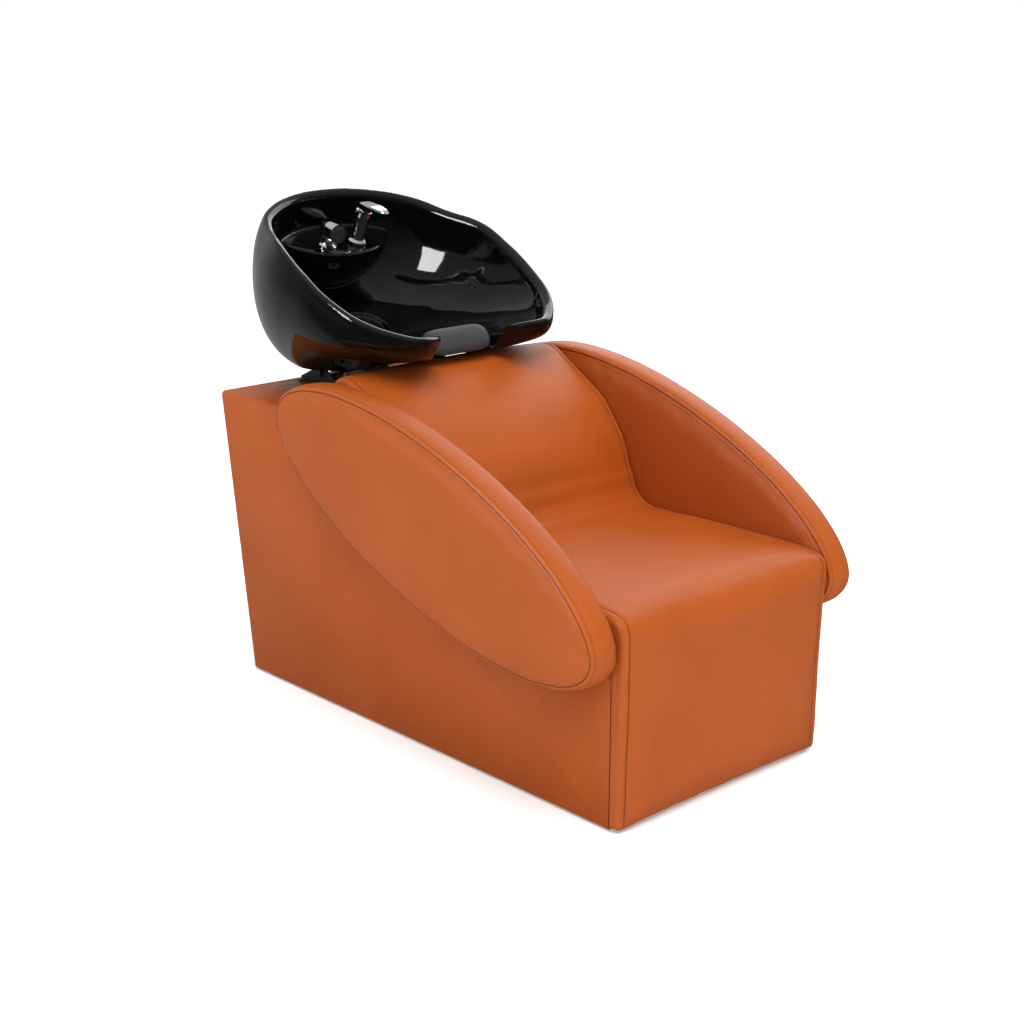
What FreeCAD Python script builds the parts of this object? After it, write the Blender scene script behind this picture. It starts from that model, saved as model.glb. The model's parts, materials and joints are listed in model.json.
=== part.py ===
import FreeCAD, Part
import math
import os
import re

import Sketcher
from FreeCAD import Placement, Rotation, Vector

# Backwash unit: an upholstered box with seat, back and oval arms, and a ceramic bowl that tilts
# on a bracket at the rear. Millimetres, +Z up, +X to the right seen from the front, +Y to the rear.
# Sizes along Y are counted from the front face; origin_shift moves the origin to the middle.
doc = FreeCAD.newDocument("backwash_unit")
dims = doc.addObject("Spreadsheet::Sheet", "dims")

sizes = [
    ("origin_shift", 666.7, "front face to the middle of the overall length"),
    ("box_half", 300, "half width over the side covers"),
    ("box_length", 1202, "length of the box at the floor"),
    ("rear_lean", 92, "how far the rear face leans out at deck height"),
    ("deck_top", 660, "height of the padded deck"),
    ("foot", 6, "height of the glides"),
    ("ply", 18, "plywood thickness"),
    ("cover", 10, "foam and cover on the sides and rear"),
    ("gap", 0.5, "room between neighbouring pieces"),
    ("apron", 26, "thickness of the padded front"),
    ("deck_pad_thick", 18, "thickness of the deck padding"),
    ("deck_front", 846, "where the deck padding starts"),
    ("seat_board_top", 372, "height of the seat board"),
    ("seat_top", 437, "height of the seat along its sides"),
    ("pad_half", 306, "half width of the seat and back pads"),
    ("pad_crown", 7, "rise of the pads at mid width"),
    ("pad_draw", 8, "how far the pads draw in at their sides"),
    ("board_foot_y", 575, "foot of the back board"),
    ("board_head_y", 800, "head of the back board"),
    ("board_head_z", 694, "height of the back board's head"),
    ("back_rear_y", 866, "rear face of the back pad"),
    ("rail_height", 70, "height of the bottom rails"),
    ("arm_centre_y", 477, "centre of the arm oval"),
    ("arm_centre_z", 520, "height of the centre of the arm oval"),
    ("arm_long", 511, "long semi-axis of the arm oval"),
    ("arm_short", 176, "short semi-axis of the arm oval"),
    ("arm_tilt", 19.2, "rise of the arm oval towards the rear, degrees"),
    ("arm_inner", 313, "inner face of an arm from the mid plane"),
    ("arm_outer", 384, "outer face of an arm from the mid plane"),
    ("arm_core_thick", 36, "thickness of an arm's plywood core"),
    ("arm_core_inset", 24, "how far the core lies inside the arm's outline"),
    ("arm_edge", 9, "rounding of an arm's edges"),
    ("bowl_tilt", 24.3, "slope of the bowl's rim plane, degrees"),
    ("rim_y", 985, "middle of the rim"),
    ("rim_z", 975, "height of the middle of the rim"),
    ("rim_half", 304, "half width of the rim"),
    ("rim_reach", 309, "half length of the rim in its own plane"),
    ("rim_thick", 20, "thickness of the rim"),
    ("bowl_wall", 8, "thickness of the ceramic"),
    ("bowl_base_z", 702, "underside of the bowl"),
    ("bowl_base_y", 1193, "middle of the bowl's base"),
    ("bowl_base_reach", 97, "half length of the bowl's base"),
    ("bowl_base_half", 132, "half width of the bowl's base"),
    ("sump_v", 53, "drain centre from the middle of the rim"),
    ("sump_depth", 221, "bowl floor below the rim plane"),
    ("sump_radius", 60, "radius of the ring round the drain"),
    ("sump_step", 8, "depth of the sump inside the ring"),
    ("drain_bore", 22, "radius of the drain hole"),
    ("ledge_v", 264, "middle of the tap ledge from the middle of the rim"),
    ("ledge_depth", 86, "tap ledge below the rim plane"),
    ("ledge_half", 160, "half width of the tap ledge"),
    ("ledge_reach", 112, "how far the tap ledge stands into the bowl"),
    ("ledge_drop", 138, "height of the bulge under the ledge"),
    ("tap_x", 40, "tap from the mid plane"),
    ("spray_x", -46, "spray from the mid plane"),
    ("fitting_v", 203, "tap and spray from the middle of the rim"),
    ("tap_hole", 17, "radius of the two holes in the ledge"),
    ("neck_half", 92, "half width of the neck notch"),
    ("neck_corner", 12, "rounding where the notch's floor meets its sides"),
    ("neck_slope", 35, "slope of the neck notch towards the front, degrees"),
    ("neck_lip_y", 799, "front edge of the notch's floor"),
    ("neck_lip_z", 788, "height of the front edge of the notch's floor"),
    ("arch_radius", 150, "radius of the arch under the neck notch"),
    ("arch_slope", 11, "fall of the arch towards the rear, degrees"),
    ("lip_thick", 5, "ceramic between the notch's floor and the arch"),
    ("neck_pad_half", 89, "half width of the neck rest"),
    ("pivot_z", 686, "height of the tilt axis"),
    ("bracket_half", 86, "half width over the bracket's cheeks"),
    ("bracket_length", 150, "length of the bracket"),
    ("bracket_plate", 5, "thickness of the bracket's steel"),
    ("pivot_radius", 6, "radius of the pivot pins"),
    ("bush_wall", 2, "wall of the pivot bushes"),
    ("running", 0.05, "radial clearance of a turning fit"),
    ("waste_radius", 20, "outside radius of the waste tail"),
    ("plumbing_hole", 56, "radius of the hole in the deck"),
    ("lever_half", 17, "half width of the tap's lever"),
    ("lever_reach", 55, "half length of the tap's lever"),
    ("lever_rise", 15.4, "slope of the lever against the rim plane, degrees"),
    ("tongue_half", 5, "half width of the lever's tongue"),
]
for row, (alias, number, meaning) in enumerate(sizes, start=1):
    dims.set(f"A{row}", meaning)
    dims.set(f"B{row}", str(number))
    dims.setAlias(f"B{row}", alias)
doc.recompute()
aliases = {alias for alias, number, meaning in sizes}
parts = {}


def value(text):
    return float(dims.evalExpression(str(text)))


def bind(text):
    return re.sub(r"[a-z_]\w*", lambda word: f"dims.{word[0]}" if word[0] in aliases else word[0], str(text))


def keep(label, piece):
    piece.Label = label
    parts[label] = piece
    return piece


def place(piece, x="0", y="0", z="0", axis=None, angle="0"):
    if axis:
        piece.Placement = Placement(Vector(), Rotation(Vector(*axis), 1))
        piece.setExpression("Placement.Rotation.Angle", bind(angle))
    for letter, text in zip("xyz", (x, f"{y} - origin_shift", z)):
        piece.setExpression(f"Placement.Base.{letter}", bind(text))
    return piece


def place_on_bowl(piece, x="0", along="0", above="0"):
    # along runs up the rim plane towards the rear, above stands square on it
    y = f"rim_y + ({along}) * cos(bowl_tilt) - ({above}) * sin(bowl_tilt)"
    z = f"rim_z + ({along}) * sin(bowl_tilt) + ({above}) * cos(bowl_tilt)"
    return place(piece, x, y, z, (1, 0, 0), "bowl_tilt")


def box(name, low, high):
    piece = doc.addObject("Part::Box", name)
    for side, first, last in zip(("Length", "Width", "Height"), low, high):
        piece.setExpression(side, bind(f"({last}) - ({first})"))
    return place(piece, *low)


def rod(name, radius, length):
    piece = doc.addObject("Part::Cylinder", name)
    piece.setExpression("Radius", bind(radius))
    piece.setExpression("Height", bind(length))
    return piece


def cut(name, base, *tools):
    for index, tool in enumerate(tools):
        piece = doc.addObject("Part::Cut", f"{name}_cut{index}")
        piece.Base = base
        piece.Tool = tool
        base = piece
    return base


def fuse(name, *pieces):
    piece = doc.addObject("Part::MultiFuse", name)
    piece.Shapes = list(pieces)
    return piece


def group(name, pieces):
    piece = doc.addObject("Part::Compound", name)
    piece.Links = list(pieces)
    return piece


def outline(body, role, points):
    sketch = body.newObject("Sketcher::SketchObject", "outline")
    plane = next(feature for feature in body.Origin.OriginFeatures if feature.Role == role)
    sketch.AttachmentSupport = [(plane, "")]
    sketch.MapMode = "FlatFace"
    corners = [Vector(value(across), value(up), 0) for across, up in points]
    for index, corner in enumerate(corners):
        sketch.addGeometry(Part.LineSegment(corner, corners[(index + 1) % len(corners)]), False)
    for index in range(len(corners)):
        sketch.addConstraint(Sketcher.Constraint("Coincident", index, 2, (index + 1) % len(corners), 1))
    for index, (corner, texts) in enumerate(zip(corners, points)):
        ways = (("DistanceX", corner.x, texts[0], -2), ("DistanceY", corner.y, texts[1], -1))
        for kind, size, text, line in ways:
            if abs(size) < 1e-9:
                sketch.addConstraint(Sketcher.Constraint("PointOnObject", index, 1, line))
                continue
            number = sketch.addConstraint(Sketcher.Constraint(kind, -1, 1, index, 1, size))
            sketch.setExpression(f"Constraints[{number}]", bind(text))
    return sketch


def board(name, points, low_x, high_x):
    # a flat piece with its outline seen from the side, points as (y, z)
    body = doc.addObject("PartDesign::Body", name)
    pad = body.newObject("PartDesign::Pad", "pad")
    pad.Profile = outline(body, "YZ_Plane", points)
    pad.setExpression("Length", bind(f"({high_x}) - ({low_x})"))
    return place(body, x=low_x)


def turned(name, points):
    # a lathe-turned piece, points as (radius, height)
    body = doc.addObject("PartDesign::Body", name)
    turn = body.newObject("PartDesign::Revolution", "turn")
    sketch = outline(body, "XZ_Plane", points)
    turn.Profile = sketch
    turn.ReferenceAxis = (sketch, ["V_Axis"])
    turn.Angle = 360
    return body


def bolt(name, head_radius, head_height, shank_radius, shank_length):
    # head above the seat plane, shank below it
    head = doc.addObject("Part::Prism", f"{name}_head")
    head.Polygon = 6
    head.setExpression("Circumradius", bind(head_radius))
    head.setExpression("Height", bind(head_height))
    shank = rod(f"{name}_shank", shank_radius, f"{shank_length} + {head_height} / 2")
    shank.setExpression("Placement.Base.z", bind(f"-({shank_length})"))
    return fuse(name, head, shank)


def rear_y(height, inset):
    return f"box_length + rear_lean * ({height}) / deck_top - ({inset})"


def sides():
    return (("left", -1), ("right", 1))


def span(side, inner, outer):
    return (inner, outer) if side > 0 else (f"-({outer})", f"-({inner})")


# Arm bolts go from inside the box through panel, cover, spacer and inner pad into the core
arm_bolt_spots = ((-330, -95), (-230, -126), (250, -100), (380, -50))
arm_bolt_radius = 4
arm_bore_radius = 4.5
panel_outer = "box_half - cover"
panel_inner = "box_half - cover - ply"
arm_joint = "(arm_inner + arm_outer) / 2"


def arm_spot(along, above):
    y = f"arm_centre_y + {along} * cos(arm_tilt) - {above} * sin(arm_tilt)"
    z = f"arm_centre_z + {along} * sin(arm_tilt) + {above} * cos(arm_tilt)"
    return y, z


def arm_rods(name, side, radius, start, end):
    rods = []
    for count, spot in enumerate(arm_bolt_spots):
        piece = rod(f"{name}_{count}", radius, f"({end}) - ({start})")
        rods.append(place(piece, f"{side} * ({start})", *arm_spot(*spot), (0, 1, 0), f"{side} * 90"))
    return rods


arm_bores = {
    word: arm_rods(f"arm_bore_{word}", side, arm_bore_radius, f"{panel_inner} - 1", arm_joint)
    for word, side in sides()
}

# Screws hold the removable rear panel to the edges of the side panels
rear_screw_heights = (60, 330, 600)
rear_screw_radius = 2.5
rear_screw_depth = 48
rear_bore_radius = 2.8
rear_bore_depth = 50
rear_head_radius = 6
rear_head_height = 3
rear_angle = "atan(rear_lean / deck_top)"


def rear_rods(name, side, radius, start, end):
    # start and end are counted out of the rear face, square to it
    rods = []
    for count, height in enumerate(rear_screw_heights):
        piece = rod(f"{name}_{count}", radius, f"({end}) - ({start})")
        x = f"{side} * (box_half - cover - ply / 2)"
        y = f"{rear_y(height, '0')} + ({start}) * cos({rear_angle})"
        z = f"{height} - ({start}) * sin({rear_angle})"
        rods.append(place(piece, x, y, z, (1, 0, 0), f"-90 deg - {rear_angle}"))
    return rods


rear_bores = {
    word: rear_rods(f"rear_bore_{word}", side, rear_bore_radius, f"-{rear_bore_depth}", rear_head_height)
    for word, side in sides()
}

# Bracket bolts go through the deck, round the plumbing hole
bracket_bolt_spots = [(x, y) for x in (-60, 60) for y in (-58, 58)]
bracket_bolt_radius = 4
bracket_bolt_length = 55
bolt_room = 0.5


def upright(name, radius, x, y, low, high):
    return place(rod(name, radius, f"({high}) - ({low})"), str(x), f"bowl_base_y + {y}", low)


bracket_bores = [
    upright(f"bracket_bore_{count}", bracket_bolt_radius + bolt_room, x, y, "deck_top - 60", "deck_top + 20")
    for count, (x, y) in enumerate(bracket_bolt_spots)
]

# Plywood carcass
panel_front = "apron + gap"
seat_under = "seat_board_top - ply"
deck_under = "deck_top - deck_pad_thick - ply"
board_step_y = "ply * 0.82"
board_step_z = "ply * 0.57"
panel_rear = "cover + ply + gap"
side_outline = [
    (panel_front, "foot"),
    (panel_front, f"{seat_under} - gap"),
    ("board_foot_y + 10", f"{seat_under} - gap"),
    ("board_head_y + 15.5", "board_head_z - 11"),
    ("board_head_y + 26", f"{deck_under} - gap"),
    (rear_y(deck_under, panel_rear), f"{deck_under} - gap"),
    (rear_y("foot", panel_rear), "foot"),
]
for word, side in sides():
    panel = board(f"side_panel_solid_{word}", side_outline, *span(side, panel_inner, panel_outer))
    keep(f"side_panel_{word}", cut(f"side_panel_{word}", panel, *arm_bores[word], *rear_bores[word]))

front_low = (f"-({panel_inner}) + gap", panel_front, "foot")
front_high = (f"{panel_inner} - gap", f"{panel_front} + ply", f"{seat_under} - gap")
keep("front_panel", box("front_panel", front_low, front_high))
seat_low = (f"-({panel_outer})", panel_front, seat_under)
seat_high = (panel_outer, "board_foot_y - 24", "seat_board_top")
keep("seat_board", box("seat_board", seat_low, seat_high))

back_outline = [
    ("board_foot_y", "seat_board_top"),
    ("board_head_y", "board_head_z"),
    (f"board_head_y + {board_step_y}", f"board_head_z - {board_step_z}"),
    (f"board_foot_y + {board_step_y}", f"seat_board_top - {board_step_z}"),
]
keep("back_board", board("back_board", back_outline, f"-({panel_outer})", panel_outer))

deck_outline = [
    ("deck_front - 14", deck_under),
    ("deck_front - 14", f"{deck_under} + ply"),
    (rear_y(f"{deck_under} + ply", panel_rear), f"{deck_under} + ply"),
    (rear_y(deck_under, panel_rear), deck_under),
]
deck_hole = place(rod("deck_hole", "plumbing_hole", "deck_top"), "0", "bowl_base_y", deck_under)
deck_solid = board("deck_solid", deck_outline, f"-({panel_outer})", panel_outer)
keep("deck_board", cut("deck_board", deck_solid, deck_hole, *bracket_bores))

rear_outline = [
    (rear_y("foot", "cover + ply"), "foot"),
    (rear_y("foot", "cover + gap"), "foot"),
    (rear_y("deck_top - deck_pad_thick", "cover + gap"), "deck_top - deck_pad_thick - gap"),
    (rear_y("deck_top - deck_pad_thick", "cover + ply"), "deck_top - deck_pad_thick - gap"),
]
rear_solid = board("rear_solid", rear_outline, f"-({panel_outer})", panel_outer)
keep("rear_panel", cut("rear_panel", rear_solid, *rear_bores["left"], *rear_bores["right"]))

rail_places = {
    "front": f"{panel_front} + ply + gap",
    "middle": "box_length / 2",
    "rear": "box_length - 120",
}
for word, start in rail_places.items():
    low = (f"-({panel_inner}) + gap", start, "foot")
    high = (f"{panel_inner} - gap", f"{start} + ply", "foot + rail_height")
    keep(f"bottom_rail_{word}", box(f"bottom_rail_{word}", low, high))

glide_list = []
glide_radius = 8.5
for word, side in sides():
    for count, start in enumerate(("70", "box_length / 2", "box_length - 70")):
        glide = rod(f"glide_{word}_{count}", glide_radius, "foot")
        glide_list.append(place(glide, f"{side} * (box_half - cover - ply / 2)", start))
keep("glides", group("glides", glide_list))

# Covers on the sides, front, rear and deck
cover_outline = [
    (panel_front, "foot"),
    (panel_front, "seat_board_top - gap"),
    ("board_foot_y + gap", "seat_board_top - gap"),
    ("board_head_y + gap", "board_head_z - gap"),
    ("board_head_y + 18", "deck_top - deck_pad_thick - gap"),
    (rear_y("deck_top - deck_pad_thick", "gap"), "deck_top - deck_pad_thick - gap"),
    (rear_y("foot", "gap"), "foot"),
]
for word, side in sides():
    skin = board(f"side_cover_solid_{word}", cover_outline, *span(side, f"{panel_outer} + gap", "box_half"))
    keep(f"side_cover_{word}", cut(f"side_cover_{word}", skin, *arm_bores[word]))

# each station: share of the half width, set-back of its edges, crown
apron_stations = ((-1, 12, 1), (-0.8, 1.5, 6), (0, 0, 6), (0.8, 1.5, 6), (1, 12, 1))


def front_apron():
    half, rear = value("box_half"), value("apron")
    low, high = value("foot"), value("seat_board_top - gap")
    wires = []
    for share, inset, crown in apron_stations:
        across = share * half
        bottom, top = Vector(across, inset, low), Vector(across, inset, high)
        middle = Vector(across, inset - crown, (low + high) / 2)
        rear_top, rear_bottom = Vector(across, rear, high), Vector(across, rear, low)
        edges = [Part.Arc(bottom, middle, top).toShape()]
        for first, last in ((top, rear_top), (rear_top, rear_bottom), (rear_bottom, bottom)):
            edges.append(Part.LineSegment(first, last).toShape())
        wires.append(Part.Wire(edges))
    return Part.makeLoft(wires, True, False)


def shaped(name, shape):
    piece = doc.addObject("Part::Feature", name)
    piece.Shape = shape
    piece.Placement = Placement(Vector(0, -value("origin_shift"), 0), Rotation())
    return keep(name, piece)


shaped("front_apron", front_apron())

deck_pad_outline = [
    ("deck_front", "deck_top - deck_pad_thick"),
    ("deck_front", "deck_top - 4"),
    ("deck_front + 6", "deck_top"),
    (rear_y("deck_top", "8"), "deck_top"),
    (rear_y("deck_top", "0"), "deck_top - 8"),
    (rear_y("deck_top", "1.5"), "deck_top - deck_pad_thick"),
]
deck_pad_solid = board("deck_pad_solid", deck_pad_outline, "-box_half", "box_half")
keep("deck_pad", cut("deck_pad", deck_pad_solid, deck_hole, *bracket_bores))

rear_cover_outline = [
    (rear_y("foot", "cover"), "foot"),
    (rear_y("foot", "0"), "foot"),
    (rear_y("deck_top - deck_pad_thick", "0"), "deck_top - deck_pad_thick - gap"),
    (rear_y("deck_top - deck_pad_thick", "cover"), "deck_top - deck_pad_thick - gap"),
]
rear_cover_solid = board("rear_cover_solid", rear_cover_outline, f"-({panel_outer})", panel_outer)
keep("rear_cover", cut("rear_cover", rear_cover_solid, *rear_bores["left"], *rear_bores["right"]))

screw_list = []
for word, side in sides():
    heads = rear_rods(f"rear_screw_head_{word}", side, rear_head_radius, "gap / 2", rear_head_height)
    shanks = rear_rods(f"rear_screw_shank_{word}", side, rear_screw_radius, f"-{rear_screw_depth}", "1")
    for count, pair in enumerate(zip(heads, shanks)):
        screw_list.append(fuse(f"rear_screw_{word}_{count}", *pair))
keep("rear_screws", group("rear_screws", screw_list))

# Seat and back pads: lofts across the width, crowned at the middle and drawn in at the sides
seat_nose = 46
nose_share = 1 - math.sqrt(0.5)
station_share = 0.84
heel_room = 12
crease_radius = 72
crease_start = 470
crease_split = 42
crease_end = 82
# the back's face in side view, from the waist up to the crest and over it
back_waist = (576, 584)
back_chest = (632, 653)
back_shoulder = (712, 709)
back_crest = (800, 756)
back_top = (834, 758)
back_edge_drop = 738
back_edge_room = 6
back_ledge = 34
face_slope = 0.7


def stations():
    half = value("pad_half")
    crown = value("pad_crown")
    draw = value("pad_draw")
    flank = station_share * half
    return ((-half, -draw), (-flank, 0), (0, crown), (flank, 0), (half, -draw))


def lofted(wire_at):
    return Part.makeLoft([wire_at(across, rise) for across, rise in stations()], True, False)


def wire_of(across, pieces):
    edges = []
    for points in pieces:
        corners = [Vector(across, y, z) for y, z in points]
        curve = Part.LineSegment(*corners) if len(corners) == 2 else Part.Arc(*corners)
        edges.append(curve.toShape())
    return Part.Wire(edges)


def crease_point(degrees, rise):
    # the hollow where seat and back meet is one arc, counted from its lowest point
    angle = math.radians(degrees)
    centre_z = value("seat_top") + crease_radius
    return (crease_start + crease_radius * math.sin(angle), centre_z + rise - crease_radius * math.cos(angle))


def seat_wire(across, rise):
    low = value("seat_board_top")
    top = value("seat_top") + rise
    front = -2 - 0.5 * rise
    shoulder = seat_nose * nose_share
    front_low = (2, low)
    front_high = (front, top - seat_nose)
    nose = (front + shoulder, top - shoulder)
    nose_top = (front + seat_nose, top)
    flat_end = crease_point(0, rise)
    split = crease_point(crease_split, rise)
    heel = (value("board_foot_y") - heel_room, low)
    return wire_of(across, [
        (front_low, front_high),
        (front_high, nose, nose_top),
        (nose_top, flat_end),
        (flat_end, crease_point(crease_split / 2, rise), split),
        (split, heel),
        (heel, front_low),
    ])


def back_wire(across, rise):
    # rise pushes the face out along the slope of the back
    out_y, out_z = -face_slope * rise, face_slope * rise
    gap = value("gap")
    split_y, split_z = crease_point(crease_split, rise)
    split = (split_y + gap, split_z + gap)
    middle = crease_point((crease_split + crease_end) / 2, rise)
    lower_start = crease_point(crease_end, rise)
    waist, chest, shoulder = [(y + out_y, z + out_z) for y, z in (back_waist, back_chest, back_shoulder)]
    crest = (back_crest[0] + 0.3 * out_y, back_crest[1] + out_z)
    crest_top = (back_top[0], back_top[1] + out_z)
    rear_line = value("back_rear_y")
    rear_top = (rear_line - back_edge_room, back_edge_drop + out_z)
    deck = value("deck_top") + gap
    head = (value("board_head_y"), value("board_head_z") + gap)
    corner_y, corner_z = f"board_head_y + {board_step_y} + gap", f"board_head_z - {board_step_z} + gap"
    board_corner = (value(corner_y), value(corner_z))
    foot_z = value("seat_board_top") + gap
    foot = (value("board_foot_y") - gap, foot_z)
    heel = (value("board_foot_y") - heel_room + gap, foot_z)
    return wire_of(across, [
        (split, middle, lower_start),
        (lower_start, waist, chest),
        (chest, shoulder, crest),
        (crest, crest_top, rear_top),
        (rear_top, (rear_line, deck)),
        ((rear_line, deck), (head[0] + back_ledge, deck)),
        ((head[0] + back_ledge, deck), board_corner),
        (board_corner, head),
        (head, foot),
        (foot, heel),
        (heel, split),
    ])


shaped("seat_pad", lofted(seat_wire))
shaped("back_pad", lofted(back_wire))

# Arms: an oval core between two padded halves, held off the side by spacers
def oval(name, long_axis, short_axis, across):
    piece = doc.addObject("Part::Ellipse", name)
    piece.setExpression("MajorRadius", bind(long_axis))
    piece.setExpression("MinorRadius", bind(short_axis))
    facing = Rotation(Vector(0, 1, 0), Vector(0, 0, 1), Vector(1, 0, 0), "XYZ")
    piece.Placement = Placement(Vector(), Rotation(Vector(1, 0, 0), value("arm_tilt")) * facing)
    for letter, text in zip("xyz", (across, "arm_centre_y - origin_shift", "arm_centre_z")):
        piece.setExpression(f"Placement.Base.{letter}", bind(text))
    return piece


def loft(name, sections):
    piece = doc.addObject("Part::Loft", name)
    piece.Sections = sections
    piece.Solid = True
    piece.Ruled = True
    return piece


def oval_slab(name, inset, low, high):
    sections = []
    for end, across in (("low", low), ("high", high)):
        sections.append(oval(f"{name}_{end}", f"arm_long - {inset}", f"arm_short - {inset}", across))
    return loft(name, sections)


# inset from the oval and depth below the face, from the crowned middle to the straight edge
arm_steps = (
    ("90", "0"), ("40", "1.5"), ("16", "3.2"), ("7", "5.5"), ("2", "arm_edge"), ("0", "arm_edge + 5"),
)


def oval_half(name, face, joint, outward):
    # from the crowned face back to the flat joint with the other half
    sections = []
    for count, (inset, depth) in enumerate(arm_steps):
        across = f"({face}) - ({outward}) * ({depth})"
        sections.append(oval(f"{name}_{count}", f"arm_long - {inset}", f"arm_short - {inset}", across))
    sections.append(oval(f"{name}_joint", "arm_long", "arm_short", joint))
    return loft(name, sections)


spacer_radius = 18
arm_head_radius = 9
arm_head_height = 6
for word, side in sides():
    joint = f"{side} * {arm_joint}"
    core_low, core_high = f"{joint} - arm_core_thick / 2", f"{joint} + arm_core_thick / 2"
    core = oval_slab(f"arm_core_solid_{word}", "arm_core_inset", core_low, core_high)
    room = oval_slab(f"arm_room_{word}", "(arm_core_inset - gap)", f"{core_low} - gap", f"{core_high} + gap")
    inner = oval_half(f"arm_inner_solid_{word}", f"{side} * arm_inner", f"{joint} - {side} * gap / 2", -side)
    outer = oval_half(f"arm_outer_solid_{word}", f"{side} * arm_outer", f"{joint} + {side} * gap / 2", side)
    bores = arm_bores[word]
    keep(f"arm_core_{word}", cut(f"arm_core_{word}", core, *bores))
    keep(f"arm_inner_pad_{word}", cut(f"arm_inner_pad_{word}", inner, room, *bores))
    keep(f"arm_outer_pad_{word}", cut(f"arm_outer_pad_{word}", outer, room))
    rings = arm_rods(f"arm_ring_{word}", side, spacer_radius, "box_half + gap / 2", "arm_inner - gap / 2")
    pairs = enumerate(zip(rings, bores))
    spacers = [cut(f"arm_spacer_{word}_{count}", ring, bore) for count, (ring, bore) in pairs]
    keep(f"arm_spacers_{word}", group(f"arm_spacers_{word}", spacers))
    head_start, head_end = f"{panel_inner} - {arm_head_height}", f"{panel_inner} - gap / 2"
    heads = arm_rods(f"arm_head_{word}", side, arm_head_radius, head_start, head_end)
    shanks = arm_rods(f"arm_shank_{word}", side, arm_bolt_radius, f"{panel_inner} - 3", f"{arm_joint} - 2")
    bolts = [fuse(f"arm_bolt_{word}_{count}", *pair) for count, pair in enumerate(zip(heads, shanks))]
    keep(f"arm_bolts_{word}", group(f"arm_bolts_{word}", bolts))

# Ceramic bowl: an outer shell and an inner basin, lofted through sections from rim to base and
# joined at the rim, hollow between them, with the tap ledge standing out of the rear wall
rim_middle = Vector(0, value("rim_y"), value("rim_z"))
rim_frame = Placement(rim_middle, Rotation(Vector(1, 0, 0), value("bowl_tilt")))
neck_lip = Vector(0, value("neck_lip_y"), value("neck_lip_z"))
neck_frame = Placement(neck_lip, Rotation(Vector(1, 0, 0), value("neck_slope")))
section_shares = (0, 0.12, 0.28, 0.46, 0.64, 0.82, 1)
section_points = 32
front_bulge = 3.2
rear_bulge = 2.1


def rim_point(along, above):
    spot = rim_frame.multVec(Vector(0, along, above))
    return spot.y, spot.z


def bezier(share, controls):
    rest = 1 - share
    weights = (rest ** 3, 3 * rest ** 2 * share, 3 * rest * share ** 2, share ** 3)
    return sum(weight * control for weight, control in zip(weights, controls))


def edge_line(start, first, last, end):
    # the line that one side of the bowl follows in side view, as control values of y and of z
    return [(start[axis], start[axis] + first[axis], end[axis] + last[axis], end[axis]) for axis in (0, 1)]


def bowl_section(share, shape, inset, drop):
    front, rear, half = shape
    fore = Vector(0, *(bezier(share, line) for line in front))
    aft = Vector(0, *(bezier(share, line) for line in rear))
    step = (aft - fore).normalize()
    reach = (aft - fore).Length / 2 - inset
    wide = bezier(share, half) - inset
    middle = (fore + aft) / 2 - Vector(0, 0, drop * share)
    points = []
    for count in range(section_points):
        angle = 2 * math.pi * count / section_points
        across, along = math.cos(angle), math.sin(angle)
        bulge = front_bulge if along < 0 else rear_bulge
        power = 2 / (bulge * (1 - share ** 2) + 2 * share ** 2)
        x = wide * math.copysign(abs(across) ** power, across)
        run = reach * math.copysign(abs(along) ** power, along)
        points.append(middle + Vector(x, 0, 0) + step * run)
    curve = Part.BSplineCurve()
    curve.interpolate(Points=points, PeriodicFlag=True)
    return Part.Wire([curve.toShape()])


def bowl_loft(shape, inset=0, drop=0, lid=0):
    wires = [bowl_section(share, shape, inset, drop) for share in section_shares]
    if lid:
        top = wires[0].copy()
        top.translate(rim_frame.Rotation.multVec(Vector(0, 0, lid)))
        wires.insert(0, top)
    return Part.makeLoft(wires, True, False)


def half_egg(inset):
    ball = Part.makeSphere(1, Vector(), Vector(0, 0, 1), -90, 0)
    stretch = FreeCAD.Matrix()
    stretch.scale(*(value(name) - inset for name in ("ledge_half", "ledge_reach", "ledge_drop")))
    egg = ball.transformGeometry(stretch)
    spot = Vector(0, value("ledge_v"), -value("ledge_depth") - inset)
    egg.Placement = rim_frame.multiply(Placement(spot, Rotation()))
    return egg


def bowl_rod(radius, x, along, low, high):
    piece = Part.makeCylinder(radius, high - low)
    piece.Placement = rim_frame.multiply(Placement(Vector(x, along, low), Rotation()))
    return piece


neck_front, neck_rear, neck_height = -150, 70, 200


def neck_slot(grow=0):
    # flat floor, straight sides and rounded corners, from in front of the lip into the bowl
    half = value("neck_half") + grow
    corner = Vector(-half, neck_front, -grow)
    slot = Part.makeBox(2 * half, neck_rear - neck_front, neck_height, corner)
    low = [edge for edge in slot.Edges if edge.Length > 2 * half and edge.BoundBox.ZMax < 0.1]
    slot = slot.makeFillet(value("neck_corner"), low)
    slot.Placement = neck_frame
    return slot


arch_before, arch_length = 110, 260


def neck_arch(grow=0):
    # a round hollow in the underside of the front wall, below the notch
    slope = math.radians(value("arch_slope"))
    rearward = Vector(0, math.cos(slope), -math.sin(slope))
    upward = Vector(0, math.sin(slope), math.cos(slope))
    radius = value("arch_radius")
    start = neck_lip - rearward * arch_before - upward * (radius + value("lip_thick"))
    return Part.makeCylinder(radius + grow, arch_length, start, rearward)


def largest(shape):
    return max(shape.Solids, key=lambda solid: solid.Volume)


def on_rim(edge):
    back = rim_frame.inverse()
    return all(abs(back.multVec(point).z) < 0.01 for point in edge.discretize(9))


rim_round = 8
rim_lid = 12
cradle_bolt_spots = [(x, y) for x in (-48, 48) for y in (-48, 48)]
cradle_bolt_radius = 4
sump_lip = 2
sump_inset = 4
drain_run = 60
fitting_run = 30
drill_room = 5
solid_rim = 0.8

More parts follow.
